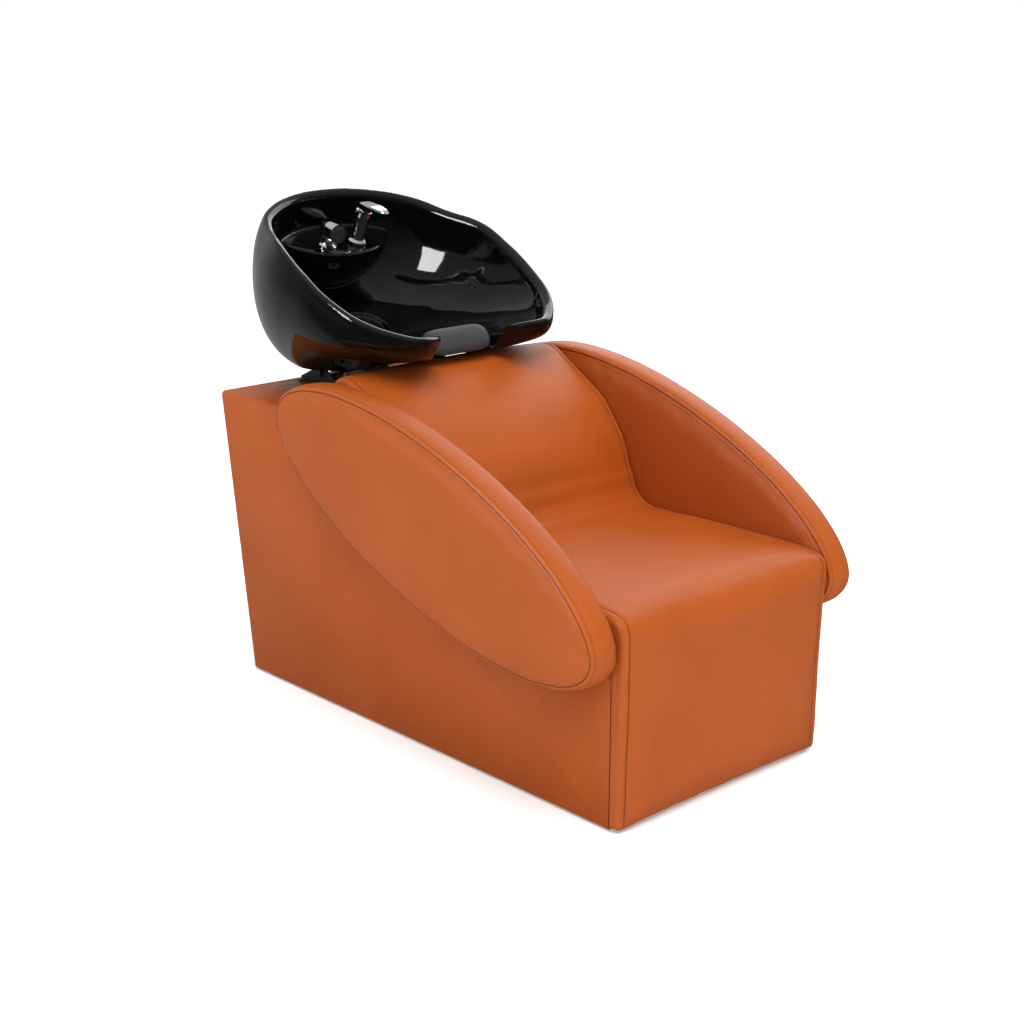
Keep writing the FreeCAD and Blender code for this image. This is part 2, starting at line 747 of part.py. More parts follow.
# how a wall leaves the rim and how it comes to its base, as steps in y and z
outer_front = ((6, -108), (-196, 92))
outer_rear = ((80, -110), (88, 38))
inner_front = ((22, -52), (-135, 14))
inner_rear = ((52, -105), (115, 30))
# a wall's half width swells below the rim, and is this many times its end above the base
outer_swell, outer_waist = 42, 1.86
inner_swell, inner_waist = 14, 4


def ceramic_bowl():
    reach, thick, wall = value("rim_reach"), value("rim_thick"), value("bowl_wall")
    half, base_y, base_z = value("rim_half"), value("bowl_base_y"), value("bowl_base_z")
    base, base_half = value("bowl_base_reach"), value("bowl_base_half")
    sump_v, depth = value("sump_v"), value("sump_depth")
    floor = value("sump_radius") + sump_lip
    outside = (
        edge_line(rim_point(-reach, 0), *outer_front, (base_y - base, base_z)),
        edge_line(rim_point(reach, 0), *outer_rear, (base_y + base, base_z)),
        (half, half + outer_swell, base_half * outer_waist, base_half),
    )
    inside = (
        edge_line(rim_point(thick - reach, 0), *inner_front, rim_point(sump_v - floor, -depth)),
        edge_line(rim_point(reach - thick, 0), *inner_rear, rim_point(sump_v + floor, -depth)),
        (half - thick, half - thick + inner_swell, floor * inner_waist, floor),
    )
    step = value("sump_step")
    basin = bowl_loft(inside, lid=rim_lid).cut(half_egg(0))
    shell = bowl_loft(outside).cut(basin)
    under = bowl_loft(inside, -wall, wall + step, lid=rim_lid).cut(half_egg(wall))
    block_corner = Vector(-2 * half, -2 * reach, -solid_rim * thick)
    rim_block = Part.makeBox(4 * half, 4 * reach, depth, block_corner)
    rim_block.Placement = rim_frame
    hollow = bowl_loft(outside, wall, -wall)
    for tool in (rim_block, under, neck_slot(wall), neck_arch(wall)):
        hollow = hollow.cut(tool)
    shell = largest(shell.cut(largest(hollow)))
    shell = shell.makeFillet(rim_round, [edge for edge in shell.Edges if on_rim(edge)])
    sump = bowl_rod(value("sump_radius") - sump_inset, 0, sump_v, -depth - step, -depth + drill_room)
    drain = bowl_rod(value("drain_bore"), 0, sump_v, -depth - drain_run, -depth)
    fitting_low, fitting_high = -value("ledge_depth") - fitting_run, -value("ledge_depth") + drill_room
    holes = [bowl_rod(value("tap_hole"), value(x), value("fitting_v"), fitting_low, fitting_high)
             for x in ("tap_x", "spray_x")]
    foot = Vector(0, base_y, base_z - drill_room)
    bore = wall + 2 * drill_room
    plumbing = Part.makeCylinder(value("plumbing_hole"), bore, foot)
    bolts = [Part.makeCylinder(cradle_bolt_radius + 2 * bolt_room, bore, foot + Vector(x, y, 0))
             for x, y in cradle_bolt_spots]
    for tool in (sump, drain, *holes, neck_slot(), neck_arch(), plumbing, *bolts):
        shell = shell.cut(tool)
    return largest(shell)


shaped("bowl", ceramic_bowl())


# the neck rest is a bar with a domed section, points as (along the notch, above its floor);
# each end station gives its share of the half width and the size of its section
rest_front = (-1, 0.3)
rest_brow = (6, 24)
rest_crest = (22, 33)
rest_fall = (38, 31)
rest_rear = (50, 12)
rest_heel = (50, 0.3)
rest_middle = (25, 17)
rest_ends = ((1, 0.62), (0.98, 0.8), (0.94, 0.93), (0.88, 1))


def rest_section(across, size):
    def spot(point):
        along, above = [middle + size * (step - middle) for step, middle in zip(point, rest_middle)]
        return neck_frame.multVec(Vector(across, along, above))

    edges = []
    for points in ((rest_front, rest_brow, rest_crest), (rest_crest, rest_fall, rest_rear)):
        edges.append(Part.Arc(*map(spot, points)).toShape())
    for points in ((rest_rear, rest_heel), (rest_heel, rest_front)):
        edges.append(Part.LineSegment(*map(spot, points)).toShape())
    return Part.Wire(edges)


def neck_rest():
    half = value("neck_pad_half")
    ends = [(-share, size) for share, size in rest_ends]
    ends += [(share, size) for share, size in reversed(rest_ends)]
    return Part.makeLoft([rest_section(share * half, size) for share, size in ends], True, True)


shaped("neck_rest", neck_rest())

# Tilt bracket on the deck, and the cradle under the bowl that turns in it
cheek_inner = "bracket_half - bracket_plate"
lug_outer = "bracket_half - bracket_plate - gap"
lug_inner = "bracket_half - 2 * bracket_plate - gap"
plate_top = "deck_top + bracket_plate"
gasket_thick = 3
cradle_top = f"bowl_base_z - {gasket_thick}"
cradle_low = f"{cradle_top} - bracket_plate"


def cross_rod(name, radius, side, start, end):
    piece = rod(name, radius, f"({end}) - ({start})")
    return place(piece, f"{side} * ({start})", "bowl_base_y", "pivot_z", (0, 1, 0), f"{side} * 90")


cheek_outline = [
    ("bowl_base_y - bracket_length / 2", "deck_top"),
    ("bowl_base_y - bracket_length / 2", "deck_top + 12"),
    ("bowl_base_y - 13", "pivot_z + 11"),
    ("bowl_base_y + 13", "pivot_z + 11"),
    ("bowl_base_y + bracket_length / 2", "deck_top + 8"),
    ("bowl_base_y + bracket_length / 2", "deck_top"),
]
plate_low = (f"-({cheek_inner})", "bowl_base_y - bracket_length / 2", "deck_top")
plate_high = (cheek_inner, "bowl_base_y + bracket_length / 2", plate_top)
bracket_steel = [box("bracket_plate", plate_low, plate_high)]
bracket_holes = [upright("bracket_hole", "plumbing_hole", 0, 0, "deck_top - 5", f"{plate_top} + 5")]
cradle_half = "bracket_length / 2 - 6"
cradle_plate_low = (f"-({lug_outer})", f"bowl_base_y - ({cradle_half})", cradle_low)
cradle_plate_high = (lug_outer, f"bowl_base_y + {cradle_half}", cradle_top)
cradle_steel = [box("cradle_plate", cradle_plate_low, cradle_plate_high)]
cradle_holes = [upright("cradle_hole", "plumbing_hole", 0, 0, f"{cradle_low} - 5", f"{cradle_top} + 5")]
lug_outline = [
    ("bowl_base_y - 22", f"{cradle_low} + 1"),
    ("bowl_base_y - 10", "pivot_z - 13"),
    ("bowl_base_y + 10", "pivot_z - 13"),
    ("bowl_base_y + 22", f"{cradle_low} + 1"),
]
pins, bushes = [], []
pin_room = 0.1
bush_room = 0.05
pin_head = 4
through = (f"{lug_inner} - 5", f"{lug_outer} + 5")
for word, side in sides():
    bracket_steel.append(board(f"cheek_{word}", cheek_outline, *span(side, cheek_inner, "bracket_half")))
    cradle_steel.append(board(f"lug_{word}", lug_outline, *span(side, lug_inner, lug_outer)))
    cheek_bore = f"pivot_radius + {pin_room}"
    bracket_holes.append(cross_rod(f"cheek_hole_{word}", cheek_bore, side, "0", "bracket_half + 20"))
    cradle_holes.append(cross_rod(f"lug_hole_{word}", "pivot_radius + bush_wall", side, *through))
    bush_outer = f"pivot_radius + bush_wall - {bush_room}"
    sleeve = cross_rod(f"bush_sleeve_{word}", bush_outer, side, lug_inner, lug_outer)
    bore = cross_rod(f"bush_bore_{word}", "pivot_radius + running", side, *through)
    bushes.append(cut(f"pivot_bush_{word}", sleeve, bore))
    pin = cross_rod(f"pin_shank_{word}", "pivot_radius", side, f"{lug_inner} - 4", "bracket_half + 3")
    head_span = ("bracket_half + gap / 2", "bracket_half + 6")
    head = cross_rod(f"pin_head_{word}", f"pivot_radius + {pin_head}", side, *head_span)
    pins.append(fuse(f"pivot_pin_{word}", pin, head))
bracket_solid = fuse("bracket_steel", *bracket_steel)
keep("tilt_bracket", cut("tilt_bracket", bracket_solid, *bracket_holes, *bracket_bores))
keep("pivot_pins", group("pivot_pins", pins))
keep("pivot_bushes", group("pivot_bushes", bushes))

bolt_head = 7.5
bolt_head_height = 5
nut_height = 6
nut_room = 0.2
cradle_bolt_length = 34
bracket_bolts = []
for count, (x, y) in enumerate(bracket_bolt_spots):
    bolt_sizes = (bolt_head, bolt_head_height, bracket_bolt_radius, bracket_bolt_length)
    piece = bolt(f"bracket_bolt_{count}", *bolt_sizes)
    bracket_bolts.append(place(piece, str(x), f"bowl_base_y + {y}", f"{plate_top} + gap / 2"))
keep("bracket_bolts", group("bracket_bolts", bracket_bolts))

cradle_bore = cradle_bolt_radius + bolt_room
cradle_bores = [
    upright(f"cradle_bore_{count}", cradle_bore, x, y, f"{cradle_low} - 5", "bowl_base_z + 5")
    for count, (x, y) in enumerate(cradle_bolt_spots)
]
keep("tilt_cradle", cut("tilt_cradle", fuse("cradle_steel", *cradle_steel), *cradle_holes, *cradle_bores))
gasket_span = (f"{cradle_top} + gap / 2", "bowl_base_z - gap / 2")
gasket_ring = upright("gasket_ring", "bowl_base_reach - 18", 0, 0, *gasket_span)
keep("cradle_gasket", cut("cradle_gasket", gasket_ring, cradle_holes[0], *cradle_bores))
cradle_bolts, cradle_nuts = [], []
for count, (x, y) in enumerate(cradle_bolt_spots):
    bolt_sizes = (bolt_head, bolt_head_height, cradle_bolt_radius, cradle_bolt_length)
    piece = bolt(f"cradle_bolt_{count}", *bolt_sizes)
    place(piece, str(x), f"bowl_base_y + {y}", f"{cradle_low} - gap / 2", (1, 0, 0), "180")
    cradle_bolts.append(piece)
    nut = doc.addObject("Part::Prism", f"cradle_nut_{count}")
    nut.setExpression("Circumradius", bind(bolt_head))
    nut.setExpression("Height", bind(nut_height))
    place(nut, str(x), f"bowl_base_y + {y}", "bowl_base_z + bowl_wall + gap")
    nut_bore = cradle_bolt_radius + nut_room
    nut_hole = upright(f"nut_hole_{count}", nut_bore, x, y, "bowl_base_z", "bowl_base_z + 60")
    cradle_nuts.append(cut(f"cradle_nut_bored_{count}", nut, nut_hole))
keep("cradle_bolts", group("cradle_bolts", cradle_bolts))
keep("cradle_nuts", group("cradle_nuts", cradle_nuts))

# Waste, on the axis of the sump: heights are counted from the sump's floor
sump_floor = "-sump_depth - sump_step"
under_floor = "-bowl_wall"


def on_waste(label, points):
    return keep(label, place_on_bowl(turned(label, points), "0", "sump_v", sump_floor))


# each waste piece is turned, points as (radius, height)
tube_outer = "drain_bore - 0.5"
tube_inner = "drain_bore - 4"
tube_end = f"{under_floor} - 30"
flange_edge = "drain_bore + 12"
on_waste("drain_flange", [
    (tube_inner, tube_end), (tube_outer, tube_end), (tube_outer, "gap / 2"), (flange_edge, "gap / 2"),
    (flange_edge, "1.5"), ("drain_bore + 9", "3"), (tube_inner, "3"),
])
ring_inner = "drain_bore + 0.2"
seal_outer = "drain_bore + 8"
seal_low, seal_high = f"{under_floor} - 4", f"{under_floor} - gap"
on_waste("drain_seal", [
    (ring_inner, seal_low), (seal_outer, seal_low), (seal_outer, seal_high), (ring_inner, seal_high),
])
lock_outer = "drain_bore + 9"
lock_low, lock_high = f"{under_floor} - 13", f"{under_floor} - 4.5"
on_waste("drain_nut", [
    (ring_inner, lock_low), (lock_outer, lock_low), (lock_outer, lock_high), (ring_inner, lock_high),
])
tail_end = f"{tube_end} - 150"
tail_bore = "waste_radius - 3"
cup_outer = "drain_bore + 5"
on_waste("waste_tail", [
    (tail_bore, tail_end), ("waste_radius", tail_end), ("waste_radius", f"{tube_end} - 16"),
    (cup_outer, f"{tube_end} - 12"), (cup_outer, f"{tube_end} + 8"), (ring_inner, f"{tube_end} + 8"),
    (ring_inner, f"{tube_end} - gap"), (tail_bore, f"{tube_end} - gap"),
])

basket_radius = "drain_bore - 5"
basket_inner = f"{basket_radius} - 2"
strainer_solid = turned("strainer_solid", [
    ("0", "-22"), (basket_radius, "-22"), (basket_radius, "3.3"), ("drain_bore + 2", "3.3"),
    ("drain_bore + 1", "5.5"), (basket_inner, "5.5"), (basket_inner, "-20"), ("3", "-20"),
    ("3", "4"), ("5.5", "6"), ("5.5", "9"), ("0", "10"),
])
place_on_bowl(strainer_solid, "0", "sump_v", sump_floor)
strainer_hole = 2.4
strainer_ring = 10
strainer_count = 8
strainer_holes = []
for count in range(strainer_count):
    angle = 2 * math.pi * count / strainer_count
    hole = rod(f"strainer_hole_{count}", strainer_hole, 12)
    x = f"{strainer_ring * math.cos(angle):.4f}"
    along = f"sump_v + {strainer_ring * math.sin(angle):.4f}"
    strainer_holes.append(place_on_bowl(hole, x, along, f"{sump_floor} - 26"))
keep("drain_strainer", cut("drain_strainer", strainer_solid, *strainer_holes))

# Mixer tap: heights are counted from the ledge
ledge_top = "-ledge_depth"


def on_tap(label, piece):
    return keep(label, place_on_bowl(piece, "tap_x", "fitting_v", ledge_top))


tap_shank = "tap_hole - 1.5"
washer_bore = "tap_hole - 1"
washer_outer = "22"
ring_outer = "24"
on_tap("tap_washer", turned("tap_washer", [
    (washer_bore, "0.3"), (washer_outer, "0.3"), (washer_outer, "3"), (washer_bore, "3"),
]))
on_tap("tap_base_ring", turned("tap_base_ring", [
    (washer_bore, "3.3"), (ring_outer, "3.3"), (ring_outer, "7"), ("19", "12"), (washer_bore, "12"),
]))
cartridge_room = "14.5"
body_top = "66"
on_tap("tap_body", turned("tap_body", [
    ("0", "-48"), (tap_shank, "-48"), (tap_shank, "12.3"), ("18", "12.3"), ("17", "34"), ("19", body_top),
    (cartridge_room, body_top), (cartridge_room, "46"), ("0", "46"),
]))
nut_outer = "24"
nut_low = "-bowl_wall - 9"
nut_high = "-bowl_wall - 1"
nut_points = [(washer_bore, nut_low), (nut_outer, nut_low), (nut_outer, nut_high), (washer_bore, nut_high)]
on_tap("tap_nut", turned("tap_nut", nut_points))
cartridge = "14.3"
spindle = "5"
on_tap("tap_cartridge", turned("tap_cartridge", [
    ("0", "46.3"), (cartridge, "46.3"), (cartridge, body_top), (spindle, body_top), (spindle, "70.5"),
    ("0", "70.5"),
]))

# The hub turns on the tap for temperature, and the lever lifts on its pin for flow
lever_pivot_v = "fitting_v + 9"
lever_pivot_h = "76"
hub_bore = f"{spindle} + running"
hub_top = "81"
hub_solid = turned("hub_solid", [
    (hub_bore, "66.5"), ("19", "66.5"), ("19.5", "70"), ("18.5", hub_top), ("0", hub_top), ("0", "71"),
    (hub_bore, "71"),
])
place_on_bowl(hub_solid, "tap_x", "fitting_v", ledge_top)


def hub_block(name, half, along, above, length, height):
    piece = doc.addObject("Part::Box", name)
    for side, size in zip(("Length", "Width", "Height"), (f"2 * ({half})", length, height)):
        piece.setExpression(side, bind(size))
    return place_on_bowl(piece, f"tap_x - ({half})", f"fitting_v + {along}", f"{ledge_top} + {above}")


slot = hub_block("hub_slot", "tongue_half + 0.4", 1, 70, 24, 20)


def lever_rod(name, radius, half_length):
    piece = rod(name, radius, 2 * half_length)
    y = f"rim_y + ({lever_pivot_v}) * cos(bowl_tilt) - ({ledge_top} + {lever_pivot_h}) * sin(bowl_tilt)"
    z = f"rim_z + ({lever_pivot_v}) * sin(bowl_tilt) + ({ledge_top} + {lever_pivot_h}) * cos(bowl_tilt)"
    return place(piece, f"tap_x - {half_length}", y, z, (0, 1, 0), "90")


pin_radius = 2
pin_half = 14
pin_fit = 0.05
index_radius = 3.5
index_room = 0.2
index_depth = 18


def index_rod(name, radius, start):
    piece = rod(name, radius, 2)
    place_on_bowl(piece, "tap_x", f"fitting_v - {start}", f"{ledge_top} + 75")
    piece.setExpression("Placement.Rotation.Angle", bind("bowl_tilt + 90"))
    return piece


index_pocket = index_rod("index_pocket", index_radius + index_room, index_depth)
hub_pin_bore = lever_rod("hub_pin_bore", pin_radius, 2 * pin_half)
keep("tap_hub", cut("tap_hub", hub_solid, slot, hub_pin_bore, index_pocket))
keep("tap_index", index_rod("tap_index", index_radius, index_depth + index_room))
keep("lever_pin", lever_rod("lever_pin", pin_radius - pin_fit, pin_half))

# The lever is a leaf: a rising blade, points as (along, above), rounded off by a slim egg
blade_outline = [
    ("9", "82.5"), ("24", "88"), ("6", "102"), ("-32", "112"), ("-62", "117.5"), ("-80", "117"),
    ("-60", "111.5"), ("-30", "102.5"), ("-12", "92"), ("-14", "83"),
]
leaf_along = "fitting_v - 27"
leaf_above = "100"
leaf_thick = 22
blade = doc.addObject("PartDesign::Body", "lever_blade")
blade_pad = blade.newObject("PartDesign::Pad", "pad")
blade_pad.Profile = outline(blade, "YZ_Plane", blade_outline)
blade_pad.setExpression("Length", bind("2 * lever_half"))
place_on_bowl(blade, "tap_x - lever_half", "fitting_v", ledge_top)
leaf = doc.addObject("Part::Ellipsoid", "lever_leaf")
for letter, size in zip("123", (leaf_thick, "lever_half", "lever_reach")):
    leaf.setExpression(f"Radius{letter}", bind(size))
place_on_bowl(leaf, "tap_x", leaf_along, f"{ledge_top} + {leaf_above}")
leaf.setExpression("Placement.Rotation.Angle", bind("bowl_tilt - lever_rise"))
paddle = doc.addObject("Part::Common", "lever_paddle")
paddle.Base = blade
paddle.Tool = leaf
tongue = hub_block("lever_tongue", "tongue_half", 4, 72, 10, 13)
lever_bore = lever_rod("lever_bore", pin_radius + pin_fit, 2 * pin_half)
keep("tap_lever", cut("tap_lever", fuse("lever_solid", paddle, tongue), lever_bore))

# Hand spray: it stands in a socket beside the tap, with its face to the front
def on_spray(label, piece):
    return keep(label, place_on_bowl(piece, "spray_x", "fitting_v", ledge_top))


stem = "12"
socket_bore = "12.6"
socket_outer = "23"
on_spray("spray_socket", turned("spray_socket", [
    (socket_bore, "-42"), (tap_shank, "-42"), (tap_shank, "0.3"), (socket_outer, "0.3"),
    (socket_outer, "4"), ("18", "8"), (socket_bore, "8"),
]))
on_spray("spray_nut", turned("spray_nut", nut_points))
collar = "14.5"
stem_end = "-50"
spray_stem = turned("spray_stem", [
    ("0", stem_end), ("10", stem_end), ("11", "-46"), (stem, "8"), (collar, "9"), (collar, "14"),
    (stem, "20"), (stem, "36"), ("0", "36"),
])
place_on_bowl(spray_stem, "spray_x", "fitting_v", ledge_top)
head_radius = "22.5"
face_room = "18.7"
face_radius = "18.5"
spray_head = turned("spray_head", [
    ("0", "-24"), ("12", "-24"), ("20", "-19"), ("21.5", "-2"), (head_radius, "0"), (head_radius, "30"),
    (face_room, "30"), (face_room, "27"), ("0", "27"),
])
spray_face = turned("spray_face", [
    ("0", "27.2"), (face_radius, "27.2"), (face_radius, "29"), ("16", "30.5"), ("0", "30.5"),
])
head_above = "37"
for piece in (spray_head, spray_face):
    place_on_bowl(piece, "spray_x", "fitting_v", f"{ledge_top} + {head_above}")
    piece.setExpression("Placement.Rotation.Angle", bind("bowl_tilt + 90 - 14"))
keep("spray_body", fuse("spray_body", spray_stem, spray_head))
keep("spray_face", spray_face)
on_spray("spray_tail", turned("spray_tail", [
    ("0", "-76"), ("6", "-76"), ("6", "-60"), ("8", "-58"), ("8", "-50.3"), ("0", "-50.3"),
]))

doc.recompute()
faults = [thing.Name for thing in doc.Objects if {"Invalid", "Error"} & set(thing.State)]
faults += [label for label, piece in parts.items() if piece.Shape.isNull() or not piece.Shape.isValid()]
if faults:
    raise RuntimeError(f"these pieces failed: {faults}")
os.makedirs("parts", exist_ok=True)
low, high = Vector(1e6, 1e6, 1e6), Vector(-1e6, -1e6, -1e6)
for label, piece in parts.items():
    piece.Shape.exportStep(f"parts/{label}.step")
    corner = piece.Shape.optimalBoundingBox()
    low = Vector(min(low.x, corner.XMin), min(low.y, corner.YMin), min(low.z, corner.ZMin))
    high = Vector(max(high.x, corner.XMax), max(high.y, corner.YMax), max(high.z, corner.ZMax))
print(f"{len(parts)} pieces, from {low} to {high}")
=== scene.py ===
import json
import math

import bmesh
import bpy
import numpy as np
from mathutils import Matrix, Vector
from mathutils.kdtree import KDTree


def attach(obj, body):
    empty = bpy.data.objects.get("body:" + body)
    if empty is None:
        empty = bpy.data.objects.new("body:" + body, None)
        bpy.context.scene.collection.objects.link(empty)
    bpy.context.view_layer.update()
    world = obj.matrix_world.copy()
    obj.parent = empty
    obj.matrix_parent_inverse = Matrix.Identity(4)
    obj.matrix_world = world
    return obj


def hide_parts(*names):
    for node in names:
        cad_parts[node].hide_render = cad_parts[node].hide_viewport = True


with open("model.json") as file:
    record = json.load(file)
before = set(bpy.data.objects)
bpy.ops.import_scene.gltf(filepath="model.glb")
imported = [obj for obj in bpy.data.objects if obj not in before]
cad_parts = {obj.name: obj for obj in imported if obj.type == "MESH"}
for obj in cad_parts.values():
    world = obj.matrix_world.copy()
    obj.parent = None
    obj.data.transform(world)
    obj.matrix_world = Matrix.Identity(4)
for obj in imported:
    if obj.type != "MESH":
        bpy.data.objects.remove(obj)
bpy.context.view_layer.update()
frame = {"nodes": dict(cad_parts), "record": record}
nodes = frame["nodes"]
print("frame loaded:", len(nodes), "nodes")

# Piece sizes are millimetres, y from the front face and z from the floor; the meshes are metres
frontFace = 666.7
mm = 0.001


def at(points):
    return (np.asarray(points, float) - (0, frontFace, 0)) * mm


# Shader maths on sockets
class Socket:
    def __init__(self, finish, link):
        self.finish = finish
        self.link = link

    def maths(self, operation, *values):
        return self.finish.node("ShaderNodeMath", {"operation": operation}, dict(enumerate(values)))

    def __add__(self, other):
        return self.maths("ADD", self, other)

    def __sub__(self, other):
        return self.maths("SUBTRACT", self, other)

    def __rsub__(self, other):
        return self.maths("SUBTRACT", other, self)

    def __mul__(self, other):
        return self.maths("MULTIPLY", self, other)

    def atMost(self, other):
        return self.maths("MINIMUM", self, other)

    __radd__ = __add__
    __rmul__ = __mul__


class Finish:
    def __init__(self, name, **constants):
        self.material = bpy.data.materials.new(name)
        self.material.use_nodes = True
        self.tree = self.material.node_tree
        self.tree.nodes.clear()
        self.shader = self.tree.nodes.new("ShaderNodeBsdfPrincipled")
        output = self.tree.nodes.new("ShaderNodeOutputMaterial")
        self.tree.links.new(self.shader.outputs["BSDF"], output.inputs["Surface"])
        self.feed(**constants)

    def node(self, kind, settings=None, sockets=None, out=0):
        node = self.tree.nodes.new(kind)
        for name, value in (settings or {}).items():
            setattr(node, name, value)
        for name, value in (sockets or {}).items():
            self.join(value, node.inputs[name])
        return Socket(self, node.outputs[out])

    def join(self, value, target):
        if isinstance(value, Socket):
            self.tree.links.new(value.link, target)
        elif target.type == "RGBA":
            target.default_value = (*value, 1)
        else:
            target.default_value = value

    def feed(self, **sockets):
        for name, value in sockets.items():
            self.join(value, self.shader.inputs[name.replace("_", " ")])

    def place(self):
        return self.node("ShaderNodeTexCoord", out="Object")

    def noise(self, scale, detail=3.0, roughness=0.5, stretch=(1, 1, 1)):
        where = self.node("ShaderNodeMapping", {}, {"Vector": self.place(), "Scale": stretch})
        sockets = {"Vector": where, "Scale": scale, "Detail": detail, "Roughness": roughness}
        return self.node("ShaderNodeTexNoise", {}, sockets, "Fac")

    def cells(self, scale, feature="DISTANCE_TO_EDGE"):
        sockets = {"Vector": self.place(), "Scale": scale}
        return self.node("ShaderNodeTexVoronoi", {"feature": feature}, sockets, "Distance")

    def between(self, factor, first, last):
        sockets = {0: factor, 6: first, 7: last}  # 6, 7 and output 2 are the Mix node's colours
        return self.node("ShaderNodeMix", {"data_type": "RGBA"}, sockets, 2)

    def spread(self, value, low, high, start=0.3, end=0.7):
        sockets = {"Value": value, "From Min": start, "From Max": end, "To Min": low, "To Max": high}
        return self.node("ShaderNodeMapRange", {}, sockets)

    def mark(self, name):
        return self.node("ShaderNodeAttribute", {"attribute_name": name}, out="Fac")

    def bump(self, height, depth, strength):
        sockets = {"Height": height, "Distance": depth, "Strength": strength}
        self.feed(Normal=self.node("ShaderNodeBump", {}, sockets))


# Finishes: colours are linear light, a noise is scale, detail, roughness and any stretch
leather = {
    "shade": (0.380, 0.072, 0.007), "light": (0.460, 0.096, 0.012), "specular": 0.3,
    # seam: a dark colour painted into the seam grooves, painted shade
    "seamShade": (0.100, 0.018, 0.003), "seamShadeCover": 0.85,
    "patches": (5.5, 4.0, 0.55), "patchTone": (0.25, 0.75), "patchRough": (0.40, 0.47),
    "flecks": (160.0, 3.0, 0.6), "fleckTone": (-0.16, 0.16), "fleckRough": (-0.03, 0.03),
    "grain": 720.0, "grainEdge": 0.16, "grainRise": 2.75,
    "pores": (1728.0, 2.0, 0.5), "poreRise": 0.25, "waves": (9.0, 2.0, 0.45), "waveRise": 3.0,
    "depth": 0.00028, "strength": 0.55,
}


def makeLeather():
    finish = Finish("orangeLeatherette", Specular_IOR_Level=leather["specular"])
    patches, flecks = finish.noise(*leather["patches"]), finish.noise(*leather["flecks"])
    tone = finish.spread(patches, *leather["patchTone"]) + finish.spread(flecks, *leather["fleckTone"])
    colour = finish.between(tone, leather["shade"], leather["light"])
    # the seam grooves are painted dark: painted shade in the creases
    colour = finish.between(finish.mark("seamShade") * leather["seamShadeCover"], colour, leather["seamShade"])
    rough = finish.spread(patches, *leather["patchRough"]) + finish.spread(flecks, *leather["fleckRough"])
    finish.feed(Base_Color=colour, Roughness=rough)
    grain = finish.cells(leather["grain"]).atMost(leather["grainEdge"]) * leather["grainRise"]
    pores = finish.noise(*leather["pores"]) * leather["poreRise"]
    waves = finish.noise(*leather["waves"]) * leather["waveRise"]
    finish.bump(grain + pores + waves, leather["depth"], leather["strength"])
    return finish.material


thread = {
    "dark": (0.34, 0.080, 0.018), "bright": (0.50, 0.140, 0.040), "twist": (900.0, 2.0, 0.5, (1, 1, 3)),
    "rough": (0.5, 0.65), "specular": 0.3, "depth": 0.0002, "strength": 0.5,
}


def makeThread():
    finish = Finish("orangeThread", Specular_IOR_Level=thread["specular"])
    twist = finish.noise(*thread["twist"])
    finish.feed(Base_Color=finish.between(twist, thread["dark"], thread["bright"]))
    finish.feed(Roughness=finish.spread(twist, *thread["rough"]))
    finish.bump(twist, thread["depth"], thread["strength"])
    return finish.material


glaze = {
    "dark": (0.0016, 0.0017, 0.0020), "bright": (0.0028, 0.0029, 0.0035), "cloud": (14.0, 3.0, 0.5),
    "film": (60.0, 4.0, 0.6), "rough": (0.04, 0.075), "specular": 0.3,
    "coat": (0.04, 0.12), "coatRough": 0.03, "ripples": (38.0, 2.0, 0.4), "depth": 0.0005, "strength": 0.08,
}


def makeGlaze():
    finish = Finish("blackGlaze", Specular_IOR_Level=glaze["specular"], Coat_Roughness=glaze["coatRough"])
    cloud, film = finish.noise(*glaze["cloud"]), finish.noise(*glaze["film"])
    finish.feed(Base_Color=finish.between(cloud, glaze["dark"], glaze["bright"]))
    finish.feed(Roughness=finish.spread(film, *glaze["rough"]))
    finish.feed(Coat_Weight=finish.spread(cloud, *glaze["coat"]))
    finish.bump(finish.noise(*glaze["ripples"]), glaze["depth"], glaze["strength"])
    return finish.material


gel = {
    "dark": (0.030, 0.031, 0.033), "bright": (0.046, 0.047, 0.050), "cloud": (30.0, 3.0, 0.5),
    "wear": (220.0, 3.0, 0.5), "rough": (0.40, 0.52), "specular": 0.35,
    "skin": (900.0, 3.0, 0.6), "depth": 0.00018, "strength": 0.5,
}


def makeGel():
    finish = Finish("greyGel", Specular_IOR_Level=gel["specular"])
    finish.feed(Base_Color=finish.between(finish.noise(*gel["cloud"]), gel["dark"], gel["bright"]))
    finish.feed(Roughness=finish.spread(finish.noise(*gel["wear"]), *gel["rough"]))
    finish.bump(finish.noise(*gel["skin"]), gel["depth"], gel["strength"])
    return finish.material


metal = {
    "smear": (26.0, 4.0, 0.6), "lines": (400.0, 2.0, 0.5), "lineRough": (-0.02, 0.02),
    "depth": 0.00006, "strength": 0.3,
    # slot: name, dark, bright, roughness, stretch of the brushed lines
    "kinds": {
        "chrome": ("chrome", (0.62, 0.63, 0.65), (0.74, 0.75, 0.77), (0.045, 0.10), (1, 1, 1)),
        "brass": ("brass", (0.52, 0.31, 0.10), (0.68, 0.43, 0.16), (0.16, 0.26), (1, 1, 1)),
        "bronze": ("bronzeBush", (0.34, 0.18, 0.07), (0.45, 0.26, 0.11), (0.30, 0.42), (1, 1, 1)),
        "zinc_steel": ("zincSteel", (0.42, 0.42, 0.40), (0.58, 0.58, 0.55), (0.28, 0.42), (1, 1, 7)),
    },
}


def makeMetal(name, dark, bright, rough, brushed):
    finish = Finish(name, Metallic=1.0)
    smear, lines = finish.noise(*metal["smear"]), finish.noise(*metal["lines"], brushed)
    finish.feed(Base_Color=finish.between(smear, dark, bright))
    finish.feed(Roughness=finish.spread(smear, *rough) + finish.spread(lines, *metal["lineRough"]))
    finish.bump(lines, metal["depth"], metal["strength"])
    return finish.material


